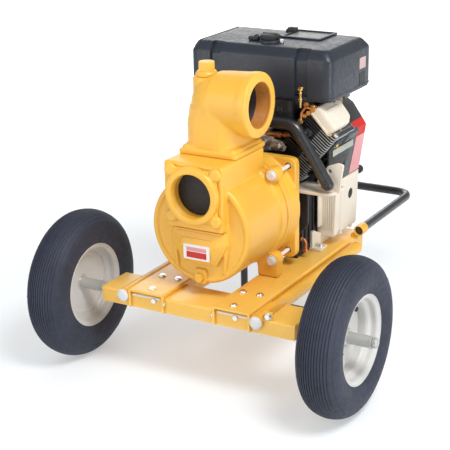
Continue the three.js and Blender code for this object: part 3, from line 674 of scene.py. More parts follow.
def rim_body(side):
    """The pressed rim and its dished disc about +Z, with the outer face towards +Z times side."""
    well = [(89, 0), (89, 12), (91.5, 17), (98, 20.5)]
    flange = [(100.5, 24), (101.5, 35), (104, 38.5), (109, 40), (112, 43.4)]
    half_line = well + flange
    line = [(r, -h) for r, h in reversed(half_line)] + half_line[1:]
    barrel = lathe(sheet(fillet(line, 3, closed=False), 2.6), sides=128)
    dish = [(89, -9), (82, -9), (76, -5), (60, -5), (30, -1), (20, 1), (14.5, 1)]
    disc_line = [(r, h * side) for r, h in dish]
    disc = lathe(sheet(fillet(disc_line, 6, closed=False), 3.4), sides=128)
    lip = sweep([(x, y, side * 42.6) for x, y in circle(112.0, 128)], 1.7, 12, closed=True)
    far_lip = moved(copy(lip), Matrix.Scale(-1, 4, (0, 0, 1)))
    return merged([barrel, disc, lip, outward(far_lip)])


def ring(inner, outer, low, high, corner):
    """A round collar about +Z with rounded corners."""
    return lathe(fillet([(inner, low), (outer, low), (outer, high), (inner, high)], corner), sides=64)


def hub_body(side):
    tube = ring(9.8, 15, -HUB_HALF, HUB_HALF, 1.2)
    collars = [ring(14, 22, low, high, 1.4) for low, high in ((3 * side - 2, 3 * side + 5), (-9, -3))]
    return merged([tube, *collars])


def valve_body(side):
    """The air valve's stem, leaning inwards through the rim at the wheel's top."""
    foot = [(0, 0), (8.5, 0), (8, 5), (5.6, 10)]
    cap = [(5.2, 20), (6, 21), (6, 30), (5, 32), (0, 32)]
    stem = turned(foot + cap, [0, 0, 2, 2, 0, 0, 1, 1, 0], sides=24)
    lean = Matrix.Rotation(math.radians(12), 4, "X")
    moved(stem, Matrix.Rotation(math.radians(94), 4, "Z") @ Matrix.Translation((0, 86, 1)) @ lean)
    return stem if side > 0 else moved(stem, Matrix.Rotation(math.pi, 4, "Y"))


def axle_body(side, hub):
    """Spacer, washers, axle end and its collar and screw, along X through the hub's middle."""
    beam_end = span("cross_beam")[1 if side > 0 else 0].x
    inner, outer = hub.x - side * 67, hub.x + side * 67
    parts = [
        (13.5, beam_end + side, inner, 1),
        (19, beam_end + side * 0.5, beam_end + side * 4, 0.8),
        (9.5, beam_end - side * 45, hub.x + side * 84, 1.5),
        (17, outer, outer + side * 3, 0.7),
        (13, outer + side * 3.3, outer + side * 16, 2),
    ]
    rods = [rod(radius, *sorted((start, end)), hub, "X", edge=edge) for radius, start, end, edge in parts]
    screw = rod(2.5, -15.5, 15.5, (outer + side * 10, 0, hub.z), "Y", 16, edge=0.8)
    return merged([*rods, screw])


def add_wheels():
    for side, word in SIDES:
        hub = centre(f"{word}_tyre")
        place = Matrix.Translation(hub) @ AXES["X"]
        wheel = f"{word}_wheel"
        tyre = moved(merged([lathe(tyre_profile(), sides=160), *vent_nubs()]), place)
        finished(tyre, f"{word}_tyre_rubber", "tyre", f"{word}_tyre", wheel, smooth=50)
        rim = moved(rim_body(side), place)
        finished(rim, f"{word}_rim_pressing", "rim_paint", f"{word}_wheel_rim", wheel, smooth=40)
        tube = moved(hub_body(side), place)
        finished(tube, f"{word}_hub_tube", "zinc", f"{word}_wheel_hub", wheel, "hub_steel")
        finished(moved(valve_body(side), place), f"{word}_valve_stem", "rubber", ride=wheel)
        axle = axle_body(side, centre(f"{word}_wheel_hub"))
        finished(axle, f"{word}_axle_shaft", "zinc", f"{word}_axle", finish="hub_steel")


# ---- frame ----
BEAM_LOW, BEAM_HIGH = span("cross_beam")
RAIL_LOW, RAIL_HIGH = span("right_rail")
RAIL_OUT, RAIL_TOP = 178, 240
TUBE = centre("right_tube_plug")
HANDLE = centre("pull_handle")
STEEL = 6
RAIL_BOLTS = [(97, 50), (146, 50), (120, -39)]


def add_beam():
    y0, y1 = BEAM_LOW.y, BEAM_HIGH.y
    beam = prism(channel(y0, y1, BEAM_LOW.z, BEAM_HIGH.z, STEEL, 6), BEAM_LOW.x, BEAM_HIGH.x, "X")
    for x, inward in ((BEAM_LOW.x, 1), (BEAM_HIGH.x, -1)):
        for start in (0, 38):
            ends = sorted((x + inward * start, x + inward * (start + STEEL)))
            union(beam, block(ends, (y0 + 1, y1 - 1), (BEAM_LOW.z + 0.5, BEAM_HIGH.z - 1)))
    axle_hole = rod(10, BEAM_LOW.x - 1, BEAM_HIGH.x + 1, (0, 0, WHEEL_R), "X", 48)
    saddles = [rod(17.4, y0 - 1, y1 + 1, (side * TUBE.x, 0, TUBE.z), "Y") for side in (-1, 1)]
    finished(cut(beam, axle_hole, *saddles), "axle_beam", "yellow_paint", "cross_beam")


def add_rail(side, word):
    y0, y1 = BEAM_LOW.y, BEAM_HIGH.y
    x0, x1 = out(side, RAIL_LOW.x, RAIL_OUT)
    rail = prism(channel(x0, x1, RAIL_LOW.z, RAIL_TOP, STEEL, 5), RAIL_LOW.y, RAIL_HIGH.y, "Y")
    notch = block((x0 - 2, x1 + 2), (y0 - 0.4, y1 + 0.4), (RAIL_LOW.z - 1, BEAM_HIGH.z + 0.3))
    finished(cut(rail, notch), f"{word}_channel_rail", "yellow_paint", f"{word}_rail")

    bolts = [hex_head((side * x, y, RAIL_TOP), "Z", 1, 14, 5.5, washer=10) for x, y in RAIL_BOLTS]
    bolts.append(hex_head((side * 119.5 + 15.5, y0, 218), "Y", -1, 13, 5))
    finished(merged(bolts), f"{word}_rail_bolts", "zinc")
    strip = block(out(side, 84, 170), (y0 - 1.6, y0 - 0.3), (221.5, 226.5), 0.5)
    finished(strip, f"{word}_rail_shim", "yellow_paint", finish="plug_white")
    finished(hex_head((side * RAIL_LOW.x, -60, 215), "X", -side, 10, 4), f"{word}_flange_screw", "zinc")


def add_side_tube(side, word):
    low, high = span(f"{word}_side_tube")
    x = side * TUBE.x
    tube = rod(17, low.y, high.y, (x, 0, TUBE.z), "Y", edge=0.8)
    cut(tube, rod(13, low.y - 1, high.y + 1, (x, 0, TUBE.z), "Y", 48))
    finished(tube, f"{word}_outer_tube", "yellow_paint", f"{word}_side_tube")

    domed = [(0, -7.2), (11, -6.4), (16.9, -2.4), (16.9, -0.3)]
    shank = [(12.8, -0.3), (12.8, 14), (0, 14)]
    plug = turned(domed + shank, [0, 5, 2, 0.4, 0, 1, 0], (x, RAIL_LOW.y, TUBE.z), "Y")
    finished(plug, f"{word}_plug_cap", "zinc", f"{word}_tube_plug", finish="plug_white", smooth=50)


def add_handle_socket(side, word):
    """The short sleeve beside a rail's rear end that the handle slides in."""
    start = span("pull_handle")[0].y - 6
    end = start + 36
    at = (side * TUBE.x, 0, HANDLE.z)
    socket = rod(15.4, start, end, at, "Y", 48, edge=1)
    arm = block(out(side, RAIL_OUT - 8, TUBE.x - 4), (start + 4, end - 4), (RAIL_TOP - 2, RAIL_TOP + 12), 1)
    cut(union(socket, arm), rod(12.8, start - 1, end + 1, at, "Y", 48))
    finished(socket, f"{word}_handle_socket", "yellow_paint")


def add_tube_clamp():
    front, back = BEAM_LOW.y + 3, BEAM_HIGH.y - 12
    z = BEAM_HIGH.z
    strip = block((TUBE.x + 19, TUBE.x + 25), (front, back), (z + 0.2, z + 21), 0.8)
    tab = block((TUBE.x + 19, TUBE.x + 41), (front, front + 5), (z + 0.2, z + 21), 0.8)
    finished(union(strip, tab), "tube_clamp_angle", "yellow_paint")
    finished(hex_head((TUBE.x + 30, front, z + 9.5), "Y", -1, 14, 8, washer=9), "clamp_bolt", "zinc")


def add_rear():
    """The rear channel, the stand's bent bar and the pull handle."""
    low, high = span("rear_cross_member")
    member = prism(channel(low.y, high.y, low.z, high.z, STEEL, 4), low.x, high.x, "X")
    finished(member, "rear_channel", "yellow_paint", "rear_cross_member")

    low, high = span("rear_stand")
    x, y, z = 150, (low.y + high.y) / 2, low.z + 10.5
    loop = bar([(-x, y, high.z - 4), (-x, y, z), (x, y, z), (x, y, high.z - 4)], 34, 10.5, 32, 12)
    pads = [block((px - 40, px + 40), (y - 30, y + 30), (high.z - 6, high.z), 1) for px in (-125, 125)]
    finished(union(loop, *pads), "stand_bar", "black_paint", "rear_stand")

    low, high = span("pull_handle")
    x, z, back = high.x - 12.5, (low.z + high.z) / 2, high.y - 12.5
    handle = bar([(-x, low.y, z), (-x, back, z), (x, back, z), (x, low.y, z)], 52, 12.4, 36, 16)
    finished(handle, "handle_bar", "black_paint", "pull_handle", "handle")


def add_frame():
    add_beam()
    for side, word in SIDES:
        add_rail(side, word)
        add_side_tube(side, word)
        add_handle_socket(side, word)
    add_tube_clamp()
    add_rear()


# ---- pump ----
SHAFT = centre("shaft_seal")
CASING_HIGH = span("pump_casing")[1]
SUCTION_LOW, SUCTION_HIGH = span("suction_flange")
SUCTION_Z = (SUCTION_LOW.z + SUCTION_HIGH.z) / 2
CHAMBER_BOTTOM, CHAMBER_TOP = 412, CASING_HIGH.z
CHAMBER_LEFT, CHAMBER_RIGHT = -89, 79
CASING_FRONT = 5
FLANGE_BACK = CASING_HIGH.y
FLANGE_FRONT = FLANGE_BACK - 32
CASING_R = 141
CAVITY_R = 124
PORT_R = 57
BOLT_X = 116
BOLTS = [(sx * BOLT_X, SHAFT.z + sz * BOLT_X) for sx in (-1, 1) for sz in (-1, 1)]
COVER_CORNERS = [(66, 403), (75, 376), (45, 322), (-45, 322), (-75, 376), (-66, 403)]
CLEANOUT_Z = 362
LABEL_Z = 352
DRAIN = centre("drain_plug")
OUTLET_Y, OUTLET_Z = 132, 710


def threaded_bore(radius, start, end, at, axis, mouth):
    """A tool for a pipe-thread bore with a chamfered mouth at its end (1) or at its start (-1)."""
    pitch, depth, chamfer, plain, beyond = 3.2, 0.9, 3, 3, 6
    first = start if mouth > 0 else start + chamfer + plain
    last = end if mouth < 0 else end - chamfer - plain
    threads = []
    z = first
    while z < last - pitch:
        threads += [(radius, z), (radius + depth, z + pitch / 2)]
        z += pitch
    threads.append((radius, z))
    wide_r = radius + chamfer
    if mouth > 0:
        wide = [(radius, end - chamfer), (wide_r, end), (wide_r, end + beyond), (0, end + beyond)]
        profile = [(0, start), *threads, *wide]
    else:
        wide = [(0, start - beyond), (wide_r, start - beyond), (wide_r, start)]
        profile = [*wide, (radius, start + chamfer), *threads, (radius, end), (0, end)]
    return lathe(profile, on_axis(at, axis), axis, 128)


def casing_bosses():
    """The pads, ribs, lugs and feet that are cast onto the casing's drum."""
    pad = prism([(x * 1.1, CLEANOUT_Z + (z - CLEANOUT_Z) * 1.12) for x, z in COVER_CORNERS], -3, 20, "Y", 4)
    drain_outline = [(-17, 262), (17, 262), (20, 285), (15, 303), (-15, 303), (-20, 285)]
    drain_boss = prism(fillet(drain_outline, 8), 0, 30, "Y", 3)
    rib_outline = [(70, 430), (82, 430), (84, 378), (74, 300), (64, 300), (72, 378)]
    ribs = [prism(fillet(handed(side, rib_outline), 3), CASING_FRONT - 2, 30, "Y", 2) for side in (-1, 1)]
    rear = rod(CASING_R + 6, FLANGE_FRONT, FLANGE_BACK, SHAFT, "Y", 128, edge=3)
    lugs = [rod(20, FLANGE_FRONT, FLANGE_BACK, (x, 0, z), "Y", 48, edge=3) for x, z in BOLTS]
    foot_outline = [(74, 240.5), (130, 240.5), (134, 288), (100, 314), (70, 289)]
    feet = [prism(handed(side, foot_outline), FLANGE_FRONT, FLANGE_BACK, "Y", 2) for side in (-1, 1)]
    return [pad, drain_boss, *ribs, rear, *lugs, *feet]


def add_casing():
    front = SUCTION_HIGH.y
    body = rod(CASING_R, CASING_FRONT, FLANGE_BACK, SHAFT, "Y", 128, edge=5)
    rim = [(128, CASING_FRONT - 5), (128, CASING_FRONT + 0.5), (124, CASING_FRONT + 5)]
    dish = [(0, CASING_FRONT - 5), *rim, (0, CASING_FRONT + 6)]
    cut(body, lathe(dish, (0, 0, SHAFT.z), "Y", 128))
    chamber = (CHAMBER_LEFT, CHAMBER_RIGHT), (front, FLANGE_BACK), (CHAMBER_BOTTOM, CHAMBER_TOP)
    union(body, block(*chamber, 7), *casing_bosses())
    cast(body, 2.0, 7)
    hollows = [
        rod(CAVITY_R, 21, FLANGE_BACK + 1, SHAFT, "Y", 96),
        block((CHAMBER_LEFT + 12, CHAMBER_RIGHT - 12), (0, 196), (434, CHAMBER_TOP - 12)),
        rod(PORT_R, front - 4, 40, (0, 0, SUCTION_Z), "Y", 96),
        rod(PORT_R, CHAMBER_TOP - 40, CHAMBER_TOP + 1, (0, OUTLET_Y, 0), "Z", 96),
        rod(35, -20, 40, (0, 0, CLEANOUT_Z), "Y", 64),
        rod(9, -20, 40, DRAIN, "Y", 48),
    ]
    bolt_holes = [rod(6.6, FLANGE_FRONT - 1, FLANGE_BACK + 1, (x, 0, z), "Y", 32) for x, z in BOLTS]
    seats = [rod(15.5, FLANGE_FRONT - 5, FLANGE_FRONT - 0.2, (x, 0, z), "Y", 48) for x, z in BOLTS]
    cut(body, *hollows, *bolt_holes, *seats)
    finished(body, "casing_casting", "yellow_cast_iron", "pump_casing", smooth=22)


def add_suction_flange():
    y0, y1 = SUCTION_LOW.y, SUCTION_HIGH.y - 0.3
    z = SUCTION_Z
    body = rod(75, y0 + 0.6, y1, (0, 0, z), "Y", 128, edge=5)
    plate = prism(rectangle(-68, 68, z - 68, z + 68, 20), y0 + 14, y1, "Y", 3)
    corners = [(sx * 64, 0, z + sz * 60) for sx in (-1, 1) for sz in (-1, 1)]
    lugs = [rod(17, y0 + 9, y1, at, "Y", 48, edge=5) for at in corners]
    cast(union(body, plate, *lugs), 1.6, 7)
    cut(body, rod(90, y0 - 2, y0 + 0.8, (0, 0, z), "Y", 96))
    cut(body, threaded_bore(PORT_R, y0 + 0.3, y1 + 2, (0, 0, z), "Y", -1))
    finished(body, "suction_flange_casting", "yellow_cast_iron", "suction_flange", smooth=22)


def add_flap():
    low, high = span("suction_flap_valve")
    y, hinge_z = low.y, high.z - 3
    profile = [(0, y), (57, y), (60, y + 2), (60, y + 7), (44, y + 8), (44, y + 12), (0, y + 12)]
    flap = turned(profile, [0, 2, 1, 2, 1, 1, 0], (0, 0, SUCTION_Z), "Y")
    tongue = block((-18, 18), (y + 0.2, y + 7), (SUCTION_Z + 40, hinge_z), 1)
    pin = rod(3, -24, 24, (0, y + 4, hinge_z), "X", 24, edge=0.6)
    finished(union(flap, tongue, pin), "flap_rubber", "rubber", "suction_flap_valve", "flap")


def add_cover():
    y0, y1 = span("cleanout_cover")[0].y, CASING_FRONT - 3.4
    rings = []
    for scale, y in ((1.0, y1 - 1), (1.0, y1 - 5), (0.93, y1 - 7), (0.66, y0 + 2.5), (0.62, y0)):
        corners = [(x * scale, (z - CLEANOUT_Z) * scale) for x, z in COVER_CORNERS]
        outline = fillet(corners, 5 * scale, steps=4)
        rings.append(([(p.x, CLEANOUT_Z + p.y) for p in outline], y))
    cover = outward(moved(loft(rings), PLANES["Y"]))
    spigot = rod(34, y1 - 4, 15, (0, 0, CLEANOUT_Z), "Y")
    bevelled(union(cover, spigot), 1.2, 3, 20)
    finished(cover, "cleanout_cover_casting", "yellow_cast_iron", "cleanout_cover", smooth=25)
    add_cover_label(y0)

    low = span("drain_plug")[0]
    hexagon = hex_head((0, low.y + 13, DRAIN.z), "Y", -1, 21, 13)
    shank = rod(8.4, low.y + 10, 17, DRAIN, "Y", 48)
    finished(union(hexagon, shank), "drain_plug_hex", "yellow_cast_iron", "drain_plug", "drain")


def add_cover_label(y):
    """A plain white label with a red and a pale band, and no lettering."""
    white = prism(rectangle(-38, 38, LABEL_Z - 20, LABEL_Z + 20, 3), y - 0.5, y + 0.4, "Y")
    finished(white, "plain_label", "yellow_paint", finish="label_white")
    for name, z0, z1, paint in (("red", -15, 1, "red_paint"), ("pale", 3, 13, "pink_paint")):
        band = prism(rectangle(-29, 29, LABEL_Z + z0, LABEL_Z + z1), y - 0.8, y - 0.4, "Y")
        finished(band, f"label_{name}_band", "yellow_paint", finish=paint)


def elbow_shape(low, face, seat, plug_x):
    """The outside: a tower on a stepped foot, a ball at the bend, the outlet's barrel and the plug's boss."""
    y, z = OUTLET_Y, OUTLET_Z
    left, right, front, back = low.x, CHAMBER_RIGHT, y - 80, y + 80
    foot_low = prism(rectangle(left, right, front, back, 8), low.z, low.z + 13, "Z", 2.5)
    step = rectangle(left + 5, right - 5, front + 5, back - 5, 12)
    foot_high = prism(step, low.z + 10, low.z + 23, "Z", 4)
    square = rectangle(-82, 68, y - 76, y + 76, 58)
    tower = loft([(square, low.z + 18), (square, z - 50), (rectangle(-80, 74, y - 77, y + 77, 76), z - 6)])
    taper = [(0, -10), (76, -10), (78.5, 20), (81, face - 34)]
    bead = [(83.5, face - 20), (83.5, face - 3), (81, face), (0, face)]
    barrel = lathe(taper + bead, (0, y, z), "X", 128)
    ball = lathe(half_circle(77.5), (-3, y, z - 6))
    boss = rod(36, z, seat, (plug_x, y, 0), edge=3)
    body = cast(union(tower, foot_high, barrel, ball, boss), 2.2, 12)
    return cast(union(body, foot_low), 1.8, 4)


def elbow_bore(low, face, seat, plug_x):
    """The inside: the rising bore, the bend, the threaded outlet and the plug's hole."""
    y, z = OUTLET_Y, OUTLET_Z
    return union(
        rod(PORT_R, low.z - 1, z, (0, y, 0), "Z", 96),
        lathe(half_circle(PORT_R), (0, y, z)),
        rod(PORT_R, 0, 32, (0, y, z), "X", 96),
        rod(17, z + 20, seat + 1, (plug_x, y, 0), "Z", 48),
        threaded_bore(PORT_R, 30, face - 0.2, (0, y, z), "X", 1),
    )


def add_elbow():
    low, high = span("discharge_elbow")
    plug_low, plug_high = span("priming_plug")
    face = high.x
    seat = plug_low.z + 22
    plug_x = (plug_low.x + plug_high.x) / 2
    y, z = OUTLET_Y, OUTLET_Z
    body = elbow_shape(low, face, seat, plug_x)
    cut(body, rod(100, face - 0.8, face + 10, (0, y, z), "X", 96))
    cut(body, rod(31, seat - 0.4, seat + 60, (plug_x, y, 0)))
    cut(body, elbow_bore(low, face, seat, plug_x))
    finished(body, "elbow_casting", "yellow_cast_iron", "discharge_elbow", smooth=22)

    bend = Vector((0, y, z))
    throat = face - 42
    # painted shade inside the outlet: darker orange in the threaded mouth, near black from the throat into
    # the bend and down the rising bore
    lined(body, "bore_orange", lambda p: p.x > throat and math.hypot(p.y - y, p.z - z) < PORT_R + 2)
    lined(body, "bore_iron", lambda p: (
        (p - bend).length < PORT_R + 2
        or 0 < p.x < throat and math.hypot(p.y - y, p.z - z) < PORT_R + 2
        or p.z < z and math.hypot(p.x, p.y - y) < PORT_R + 1.6))
    add_priming_plug(plug_low, plug_high, seat, plug_x)


def add_priming_plug(low, high, seat, x):
    collar = seat + 13
    hexagon = hex_head((x, OUTLET_Y, collar - 1), "Z", 1, 40, high.z - collar + 0.8)
    profile = [(0, seat + 0.3), (28, seat + 0.3), (28.5, seat + 7), (24, collar), (0, collar)]
    flange = turned(profile, [0, 1, 3, 3, 0], (x, OUTLET_Y, 0), sides=64)
    shank = rod(16.6, low.z, seat + 4, (x, OUTLET_Y, 0))
    bevelled(union(hexagon, flange, shank), 0.8, 2, 30)
    finished(hexagon, "priming_plug_hex", "yellow_cast_iron", "priming_plug", "priming")


def add_adapter():
    low, high = span("engine_adapter")
    front, back = low.y, high.y
    waist = [(149, front), (149, front + 10), (143, front + 26), (150, back - 18)]
    bell = turned([(0, front), *waist, (0, back - 18)], [0, 3, 4, 20, 2, 0], (0, 0, SHAFT.z), "Y", 128)
    half = 138
    plate = prism(rectangle(-half, half, SHAFT.z - half, SHAFT.z + half, 22), back - 25, back, "Y", 2.5)
    body = cast(union(bell, plate), 2.0, 6)
    inside = rod(128, front - 1, front + 54, SHAFT, "Y", 96)
    pilot = rod(60, front + 46, back + 1, SHAFT, "Y", 96)
    holes = [rod(9, front - 1, back + 1, (x, 0, z), "Y", 32) for x, z in BOLTS]
    cut(body, inside, pilot, *holes)
    finished(body, "adapter_casting", "yellow_cast_iron", "engine_adapter", smooth=22)


def add_casing_bolts():
    for corner in ("upper_left", "upper_right", "lower_left", "lower_right"):
        start, end = span(f"casing_bolt_{corner}")
        x, z = (start.x + end.x) / 2, (start.z + end.z) / 2
        head = hex_head((x, FLANGE_FRONT - 0.3, z), "Y", -1, 20, 9, washer=14)
        stud = rod(5.4, FLANGE_FRONT - 2, end.y, (x, 0, z), "Y", 32, edge=0.8)
        nut = hex_head((x, FLANGE_BACK + 0.4, z), "Y", 1, 16, 7)
        bolt = merged([head, stud, nut])
        finished(bolt, f"bolt_{corner}", "zinc", f"casing_bolt_{corner}", finish="plug_white")


# ---- engine ----
CASE_LOW = span("crankcase")[0]
BASE_LOW, BASE_HIGH = span("fan_housing_base")
SHROUD_LOW, SHROUD_HIGH = span("fan_shroud")
KNOB = centre("choke_knob")
HEADS = {side: centre(f"{word}_cylinder_head") for side, word in SIDES}
LEAN = math.atan2(HEADS[1].x, HEADS[1].z - SHAFT.z)
CASE_FRONT, CASE_BACK = 331, 454
CASE_HALF = 112
CASE_BOLTS = [(104 * side, z) for side in (-1, 1) for z in (262, 322, 388, 418)]
DECK = 96
HEAD_START = 186
COVER_START = 284
FIN_REACH = 54
FIN_THICKNESS = 1.7
SCREEN_R = 92


def bank(side):
    """One cylinder's own axes: z runs out along the bore, x across it, y along the shaft."""
    return Matrix.Translation((0, HEADS[side].y, SHAFT.z)) @ Matrix.Rotation(side * LEAN, 4, "Y")


def fins(side, half_y, levels):
    """Thin plates, one at each level, and the rounded bright rim round each plate's outer half."""
    plates = []
    rims = []
    outline = rectangle(-FIN_REACH, FIN_REACH, -half_y, half_y, 9)
    for z in levels:
        plates.append(prism(outline, z - FIN_THICKNESS / 2, z + FIN_THICKNESS / 2))
        corners = [(side * p.x, p.y, z) for p in outline if p.x > 0]
        rims.append(sweep([(side * 8, -half_y, z), *corners, (side * 8, half_y, z)], 1.2, 8))
    return plates, rims


def add_cylinder(side, word):
    plates, rims = fins(side, FIN_REACH, [DECK + 16 + 7.2 * k for k in range(10)])
    barrel = rod(48, DECK + 0.3, HEAD_START, (0, 0, 0), "Z", 96)
    base = prism(rectangle(-52, 52, -50, 50, 8), DECK + 0.3, DECK + 9, "Z", 1.5)
    union(barrel, base, *plates)
    cut(barrel, rod(39, DECK - 1, HEAD_START + 1, (0, 0, 0)))
    finished(moved(barrel, bank(side)), f"{word}_cylinder_barrel", "dark_fins", f"{word}_cylinder")
    finished(moved(merged(rims), bank(side)), f"{word}_cylinder_fin_rims", "dark_fins", finish="bright_fins")


def add_head(side, word):
    plates, rims = fins(side, 66, [HEAD_START + 8 + 7.4 * k for k in range(12)])
    core = block((-45, 45), (-55, 55), (HEAD_START + 0.3, COVER_START), 5)
    union(core, *plates)
    finished(moved(core, bank(side)), f"{word}_head_casting", "dark_fins", f"{word}_cylinder_head")
    finished(moved(merged(rims), bank(side)), f"{word}_head_fin_rims", "dark_fins", finish="bright_fins")

    plug = merged([
        rod(12, -4, 5, (-12, 0, 0), "Z", 32, edge=1),
        hex_head((-12, 0, 5), "Z", 1, 20, 9),
        lathe(fillet([(0, 14), (4.6, 14), (4.6, 38), (3.4, 39), (0, 39)], 0.6), (-12, 0, 0), sides=24),
    ])
    moved(plug, Matrix.Translation((0, -62, 236)) @ Matrix.Rotation(math.radians(72), 4, "X"))
    finished(moved(plug, bank(side)), f"{word}_spark_plug", "black_paint")
    bolt = hex_head((48, -60, COVER_START - 1), "Z", 1, 11, 6)
    finished(moved(bolt, bank(side)), f"{word}_head_bolts", "zinc")


def add_valve_cover(side, word):
    """The rocker cover sits on the head at a steeper angle than the bore."""
    low, high = span(f"{word}_valve_cover")
    at = Vector(((low.x + high.x) / 2 - side * 10, HEADS[side].y, (low.z + high.z) / 2 - 10))
    tilt = Matrix.Translation(at) @ Matrix.Rotation(side * (LEAN + math.radians(9)), 4, "Y")
    if side < 0:
        tilt = tilt @ Matrix.Scale(-1, 4, (1, 0, 0))
    outline = fillet([(-39, -72), (39, -72), (39, 16), (24, 44), (-39, 52)], [9, 11, 16, 16, 8], steps=7)
    skirt = prism([(p.x * 1.05, p.y * 1.03 + 0.5) for p in outline], -8, -1, "Z", 1.4)
    levels = [(1.0, -3), (0.995, 14), (0.97, 20), (0.93, 23.2), (0.87, 24.6), (0.84, 24.8)]
    crown = loft([([(p.x * s, -10 + (p.y + 10) * s) for p in outline], z) for s, z in levels])
    panel = prism(rectangle(-20, 20, -50, 22, 10), 23, 26.2, "Z", 1.6)
    cover = union(crown, skirt, panel)
    cut(cover, *[prism(rectangle(-33, -27, y - 8, y + 8, 2.9), 20, 40) for y in (12, 38)])
    if side < 0:
        cover.data.flip_normals()
    cover = outward(moved(cover, tilt))
    finished(cover, f"{word}_rocker_cover", "cream_paint", f"{word}_valve_cover", smooth=30)
    slots = [prism(rectangle(-32.6, -27.4, y - 7.4, y + 7.4, 2.6), 20.2, 22.6) for y in (12, 38)]
    inlay = outward(moved(merged(slots), tilt))
    finished(inlay, f"{word}_rocker_cover_slots", "cream_paint", finish="black_paint")
    spots = [(-37, -68), (37, -68), (-37, 48), (40.2, -12)]
    screws = moved(merged([hex_head((x, y, -1.2), "Z", 1, 9, 5) for x, y in spots]), tilt)
    finished(outward(screws), f"{word}_rocker_cover_screws", "zinc", finish="brass")


def add_banks():
    for side, word in SIDES:
        add_cylinder(side, word)
        add_head(side, word)
        add_valve_cover(side, word)


def add_crankcase():
    low = CASE_LOW.z
    top = SHAFT.z + (DECK - CASE_HALF * math.sin(LEAN)) / math.cos(LEAN)
    ridge = SHAFT.z + (DECK - 22 * math.sin(LEAN)) / math.cos(LEAN)
    right = [(CASE_HALF, low), (CASE_HALF, top), (22, ridge)]
    left = [(-22, ridge), (-CASE_HALF, top)]
    outline = fillet([(-CASE_HALF, low), *right, *left], [5, 5, 7, 4, 4, 7], steps=4)
    body = prism(outline, CASE_FRONT, CASE_BACK, "Y", 3)
    neck = rod(100, CASE_LOW.y, CASE_FRONT + 2, SHAFT, "Y", 96, edge=2)
    walls = ((-CASE_HALF - 4, -CASE_HALF + 6), (CASE_HALF - 6, CASE_HALF + 4))
    rib_starts = [CASE_FRONT + 16 + 24 * k for k in range(5)]
    ribs = [block(x, (y, y + 4), (low + 20, top - 14), 1.5) for y in rib_starts for x in walls]
    corners = ((-CASE_HALF, -70), (70, CASE_HALF))
    sump = [block(x, (CASE_FRONT - 4, CASE_FRONT + 4), (low, low + 34), 2) for x in corners]
    bosses = [rod(9, CASE_FRONT - 5, CASE_FRONT + 4, (x, 0, z), "Y", 32, edge=1) for x, z in CASE_BOLTS]
    union(body, neck, *ribs, *sump, *bosses)
    cut(body, rod(74, CASE_LOW.y + 24, CASE_BACK - 14, SHAFT, "Y"))
    cut(body, rod(15, CASE_LOW.y - 1, CASE_BACK + 1, SHAFT, "Y", 32))
    cut(body, *[moved(rod(39, 20, 140, (0, 0, 0), "Z", 48), bank(side)) for side in (-1, 1)])
    cut(body, rod(5, 320, 500, centre("oil_dipstick"), "Z", 24))
    finished(body, "crankcase_casting", "black_aluminium", "crankcase")
    heads = [hex_head((x, CASE_FRONT - 5, z), "Y", -1, 10, 6) for x, z in CASE_BOLTS]
    finished(merged(heads), "crankcase_bolts", "zinc", finish="plug_white")

    pipe = merged([
        bar([(114, 346, 292), (124, 346, 292), (128, 346, 284), (128, 346, 262)], 6, 4.4, 20),
        hex_head((128, 346, 266), "Z", -1, 13, 10),
        rod(7, 112, 119, (0, 346, 292), "X", 32, edge=1),
    ])
    finished(pipe, "oil_drain_pipe", "brass", finish="copper")


def add_engine_feet():
    low = CASE_LOW.z
    outline = [(404, low + 0.2), (530, low + 0.2), (530, low + 14), (450, 278), (414, 296), (404, 296)]
    for side, word in SIDES:
        plate = prism(outline, *out(side, CASE_HALF + 0.5, CASE_HALF + 9), "X", 2)
        flat = block(out(side, CASE_HALF - 10, CASE_HALF + 34), (404, 448), (low, low + 7), 1.5)
        finished(union(plate, flat), f"{word}_engine_foot", "aluminium", finish="cream_paint")
        bolt = hex_head((side * (CASE_HALF + 22), 426, low + 7), "Z", 1, 14, 8, washer=10)
        finished(bolt, f"{word}_foot_bolt", "zinc")


# ---- fan housing ----
HOUSING_FRONT = CASE_BACK + 0.3
HOUSING_HALF = 169
SIDE_HOLE = (0, 551, 372)


def shroud_outline(grow=0.0):
    """The upper fan housing seen along the shaft, optionally grown outwards."""
    points = [(HOUSING_HALF, 430.3), (190, 565), (150, 622), (92, 660)]
    right = [(x + grow, z + (grow if z > 600 else 0)) for x, z in points]
    left = [(-x, z) for x, z in reversed(right)]
    return fillet(right + left, [0, 12, 16, 14, 14, 16, 12, 0], steps=5)


def hollow_housing(body):
    back = SHROUD_HIGH.y
    return cut(
        body,
        rod(132, 498, back - 8, SHAFT, "Y", 96),
        rod(88, 510, back + 1, SHAFT, "Y", 96),
        rod(18, BASE_LOW.y - 30, 520, SHAFT, "Y", 48),
        rod(4.5, 558, back + 1, KNOB, "Y", 24),
    )


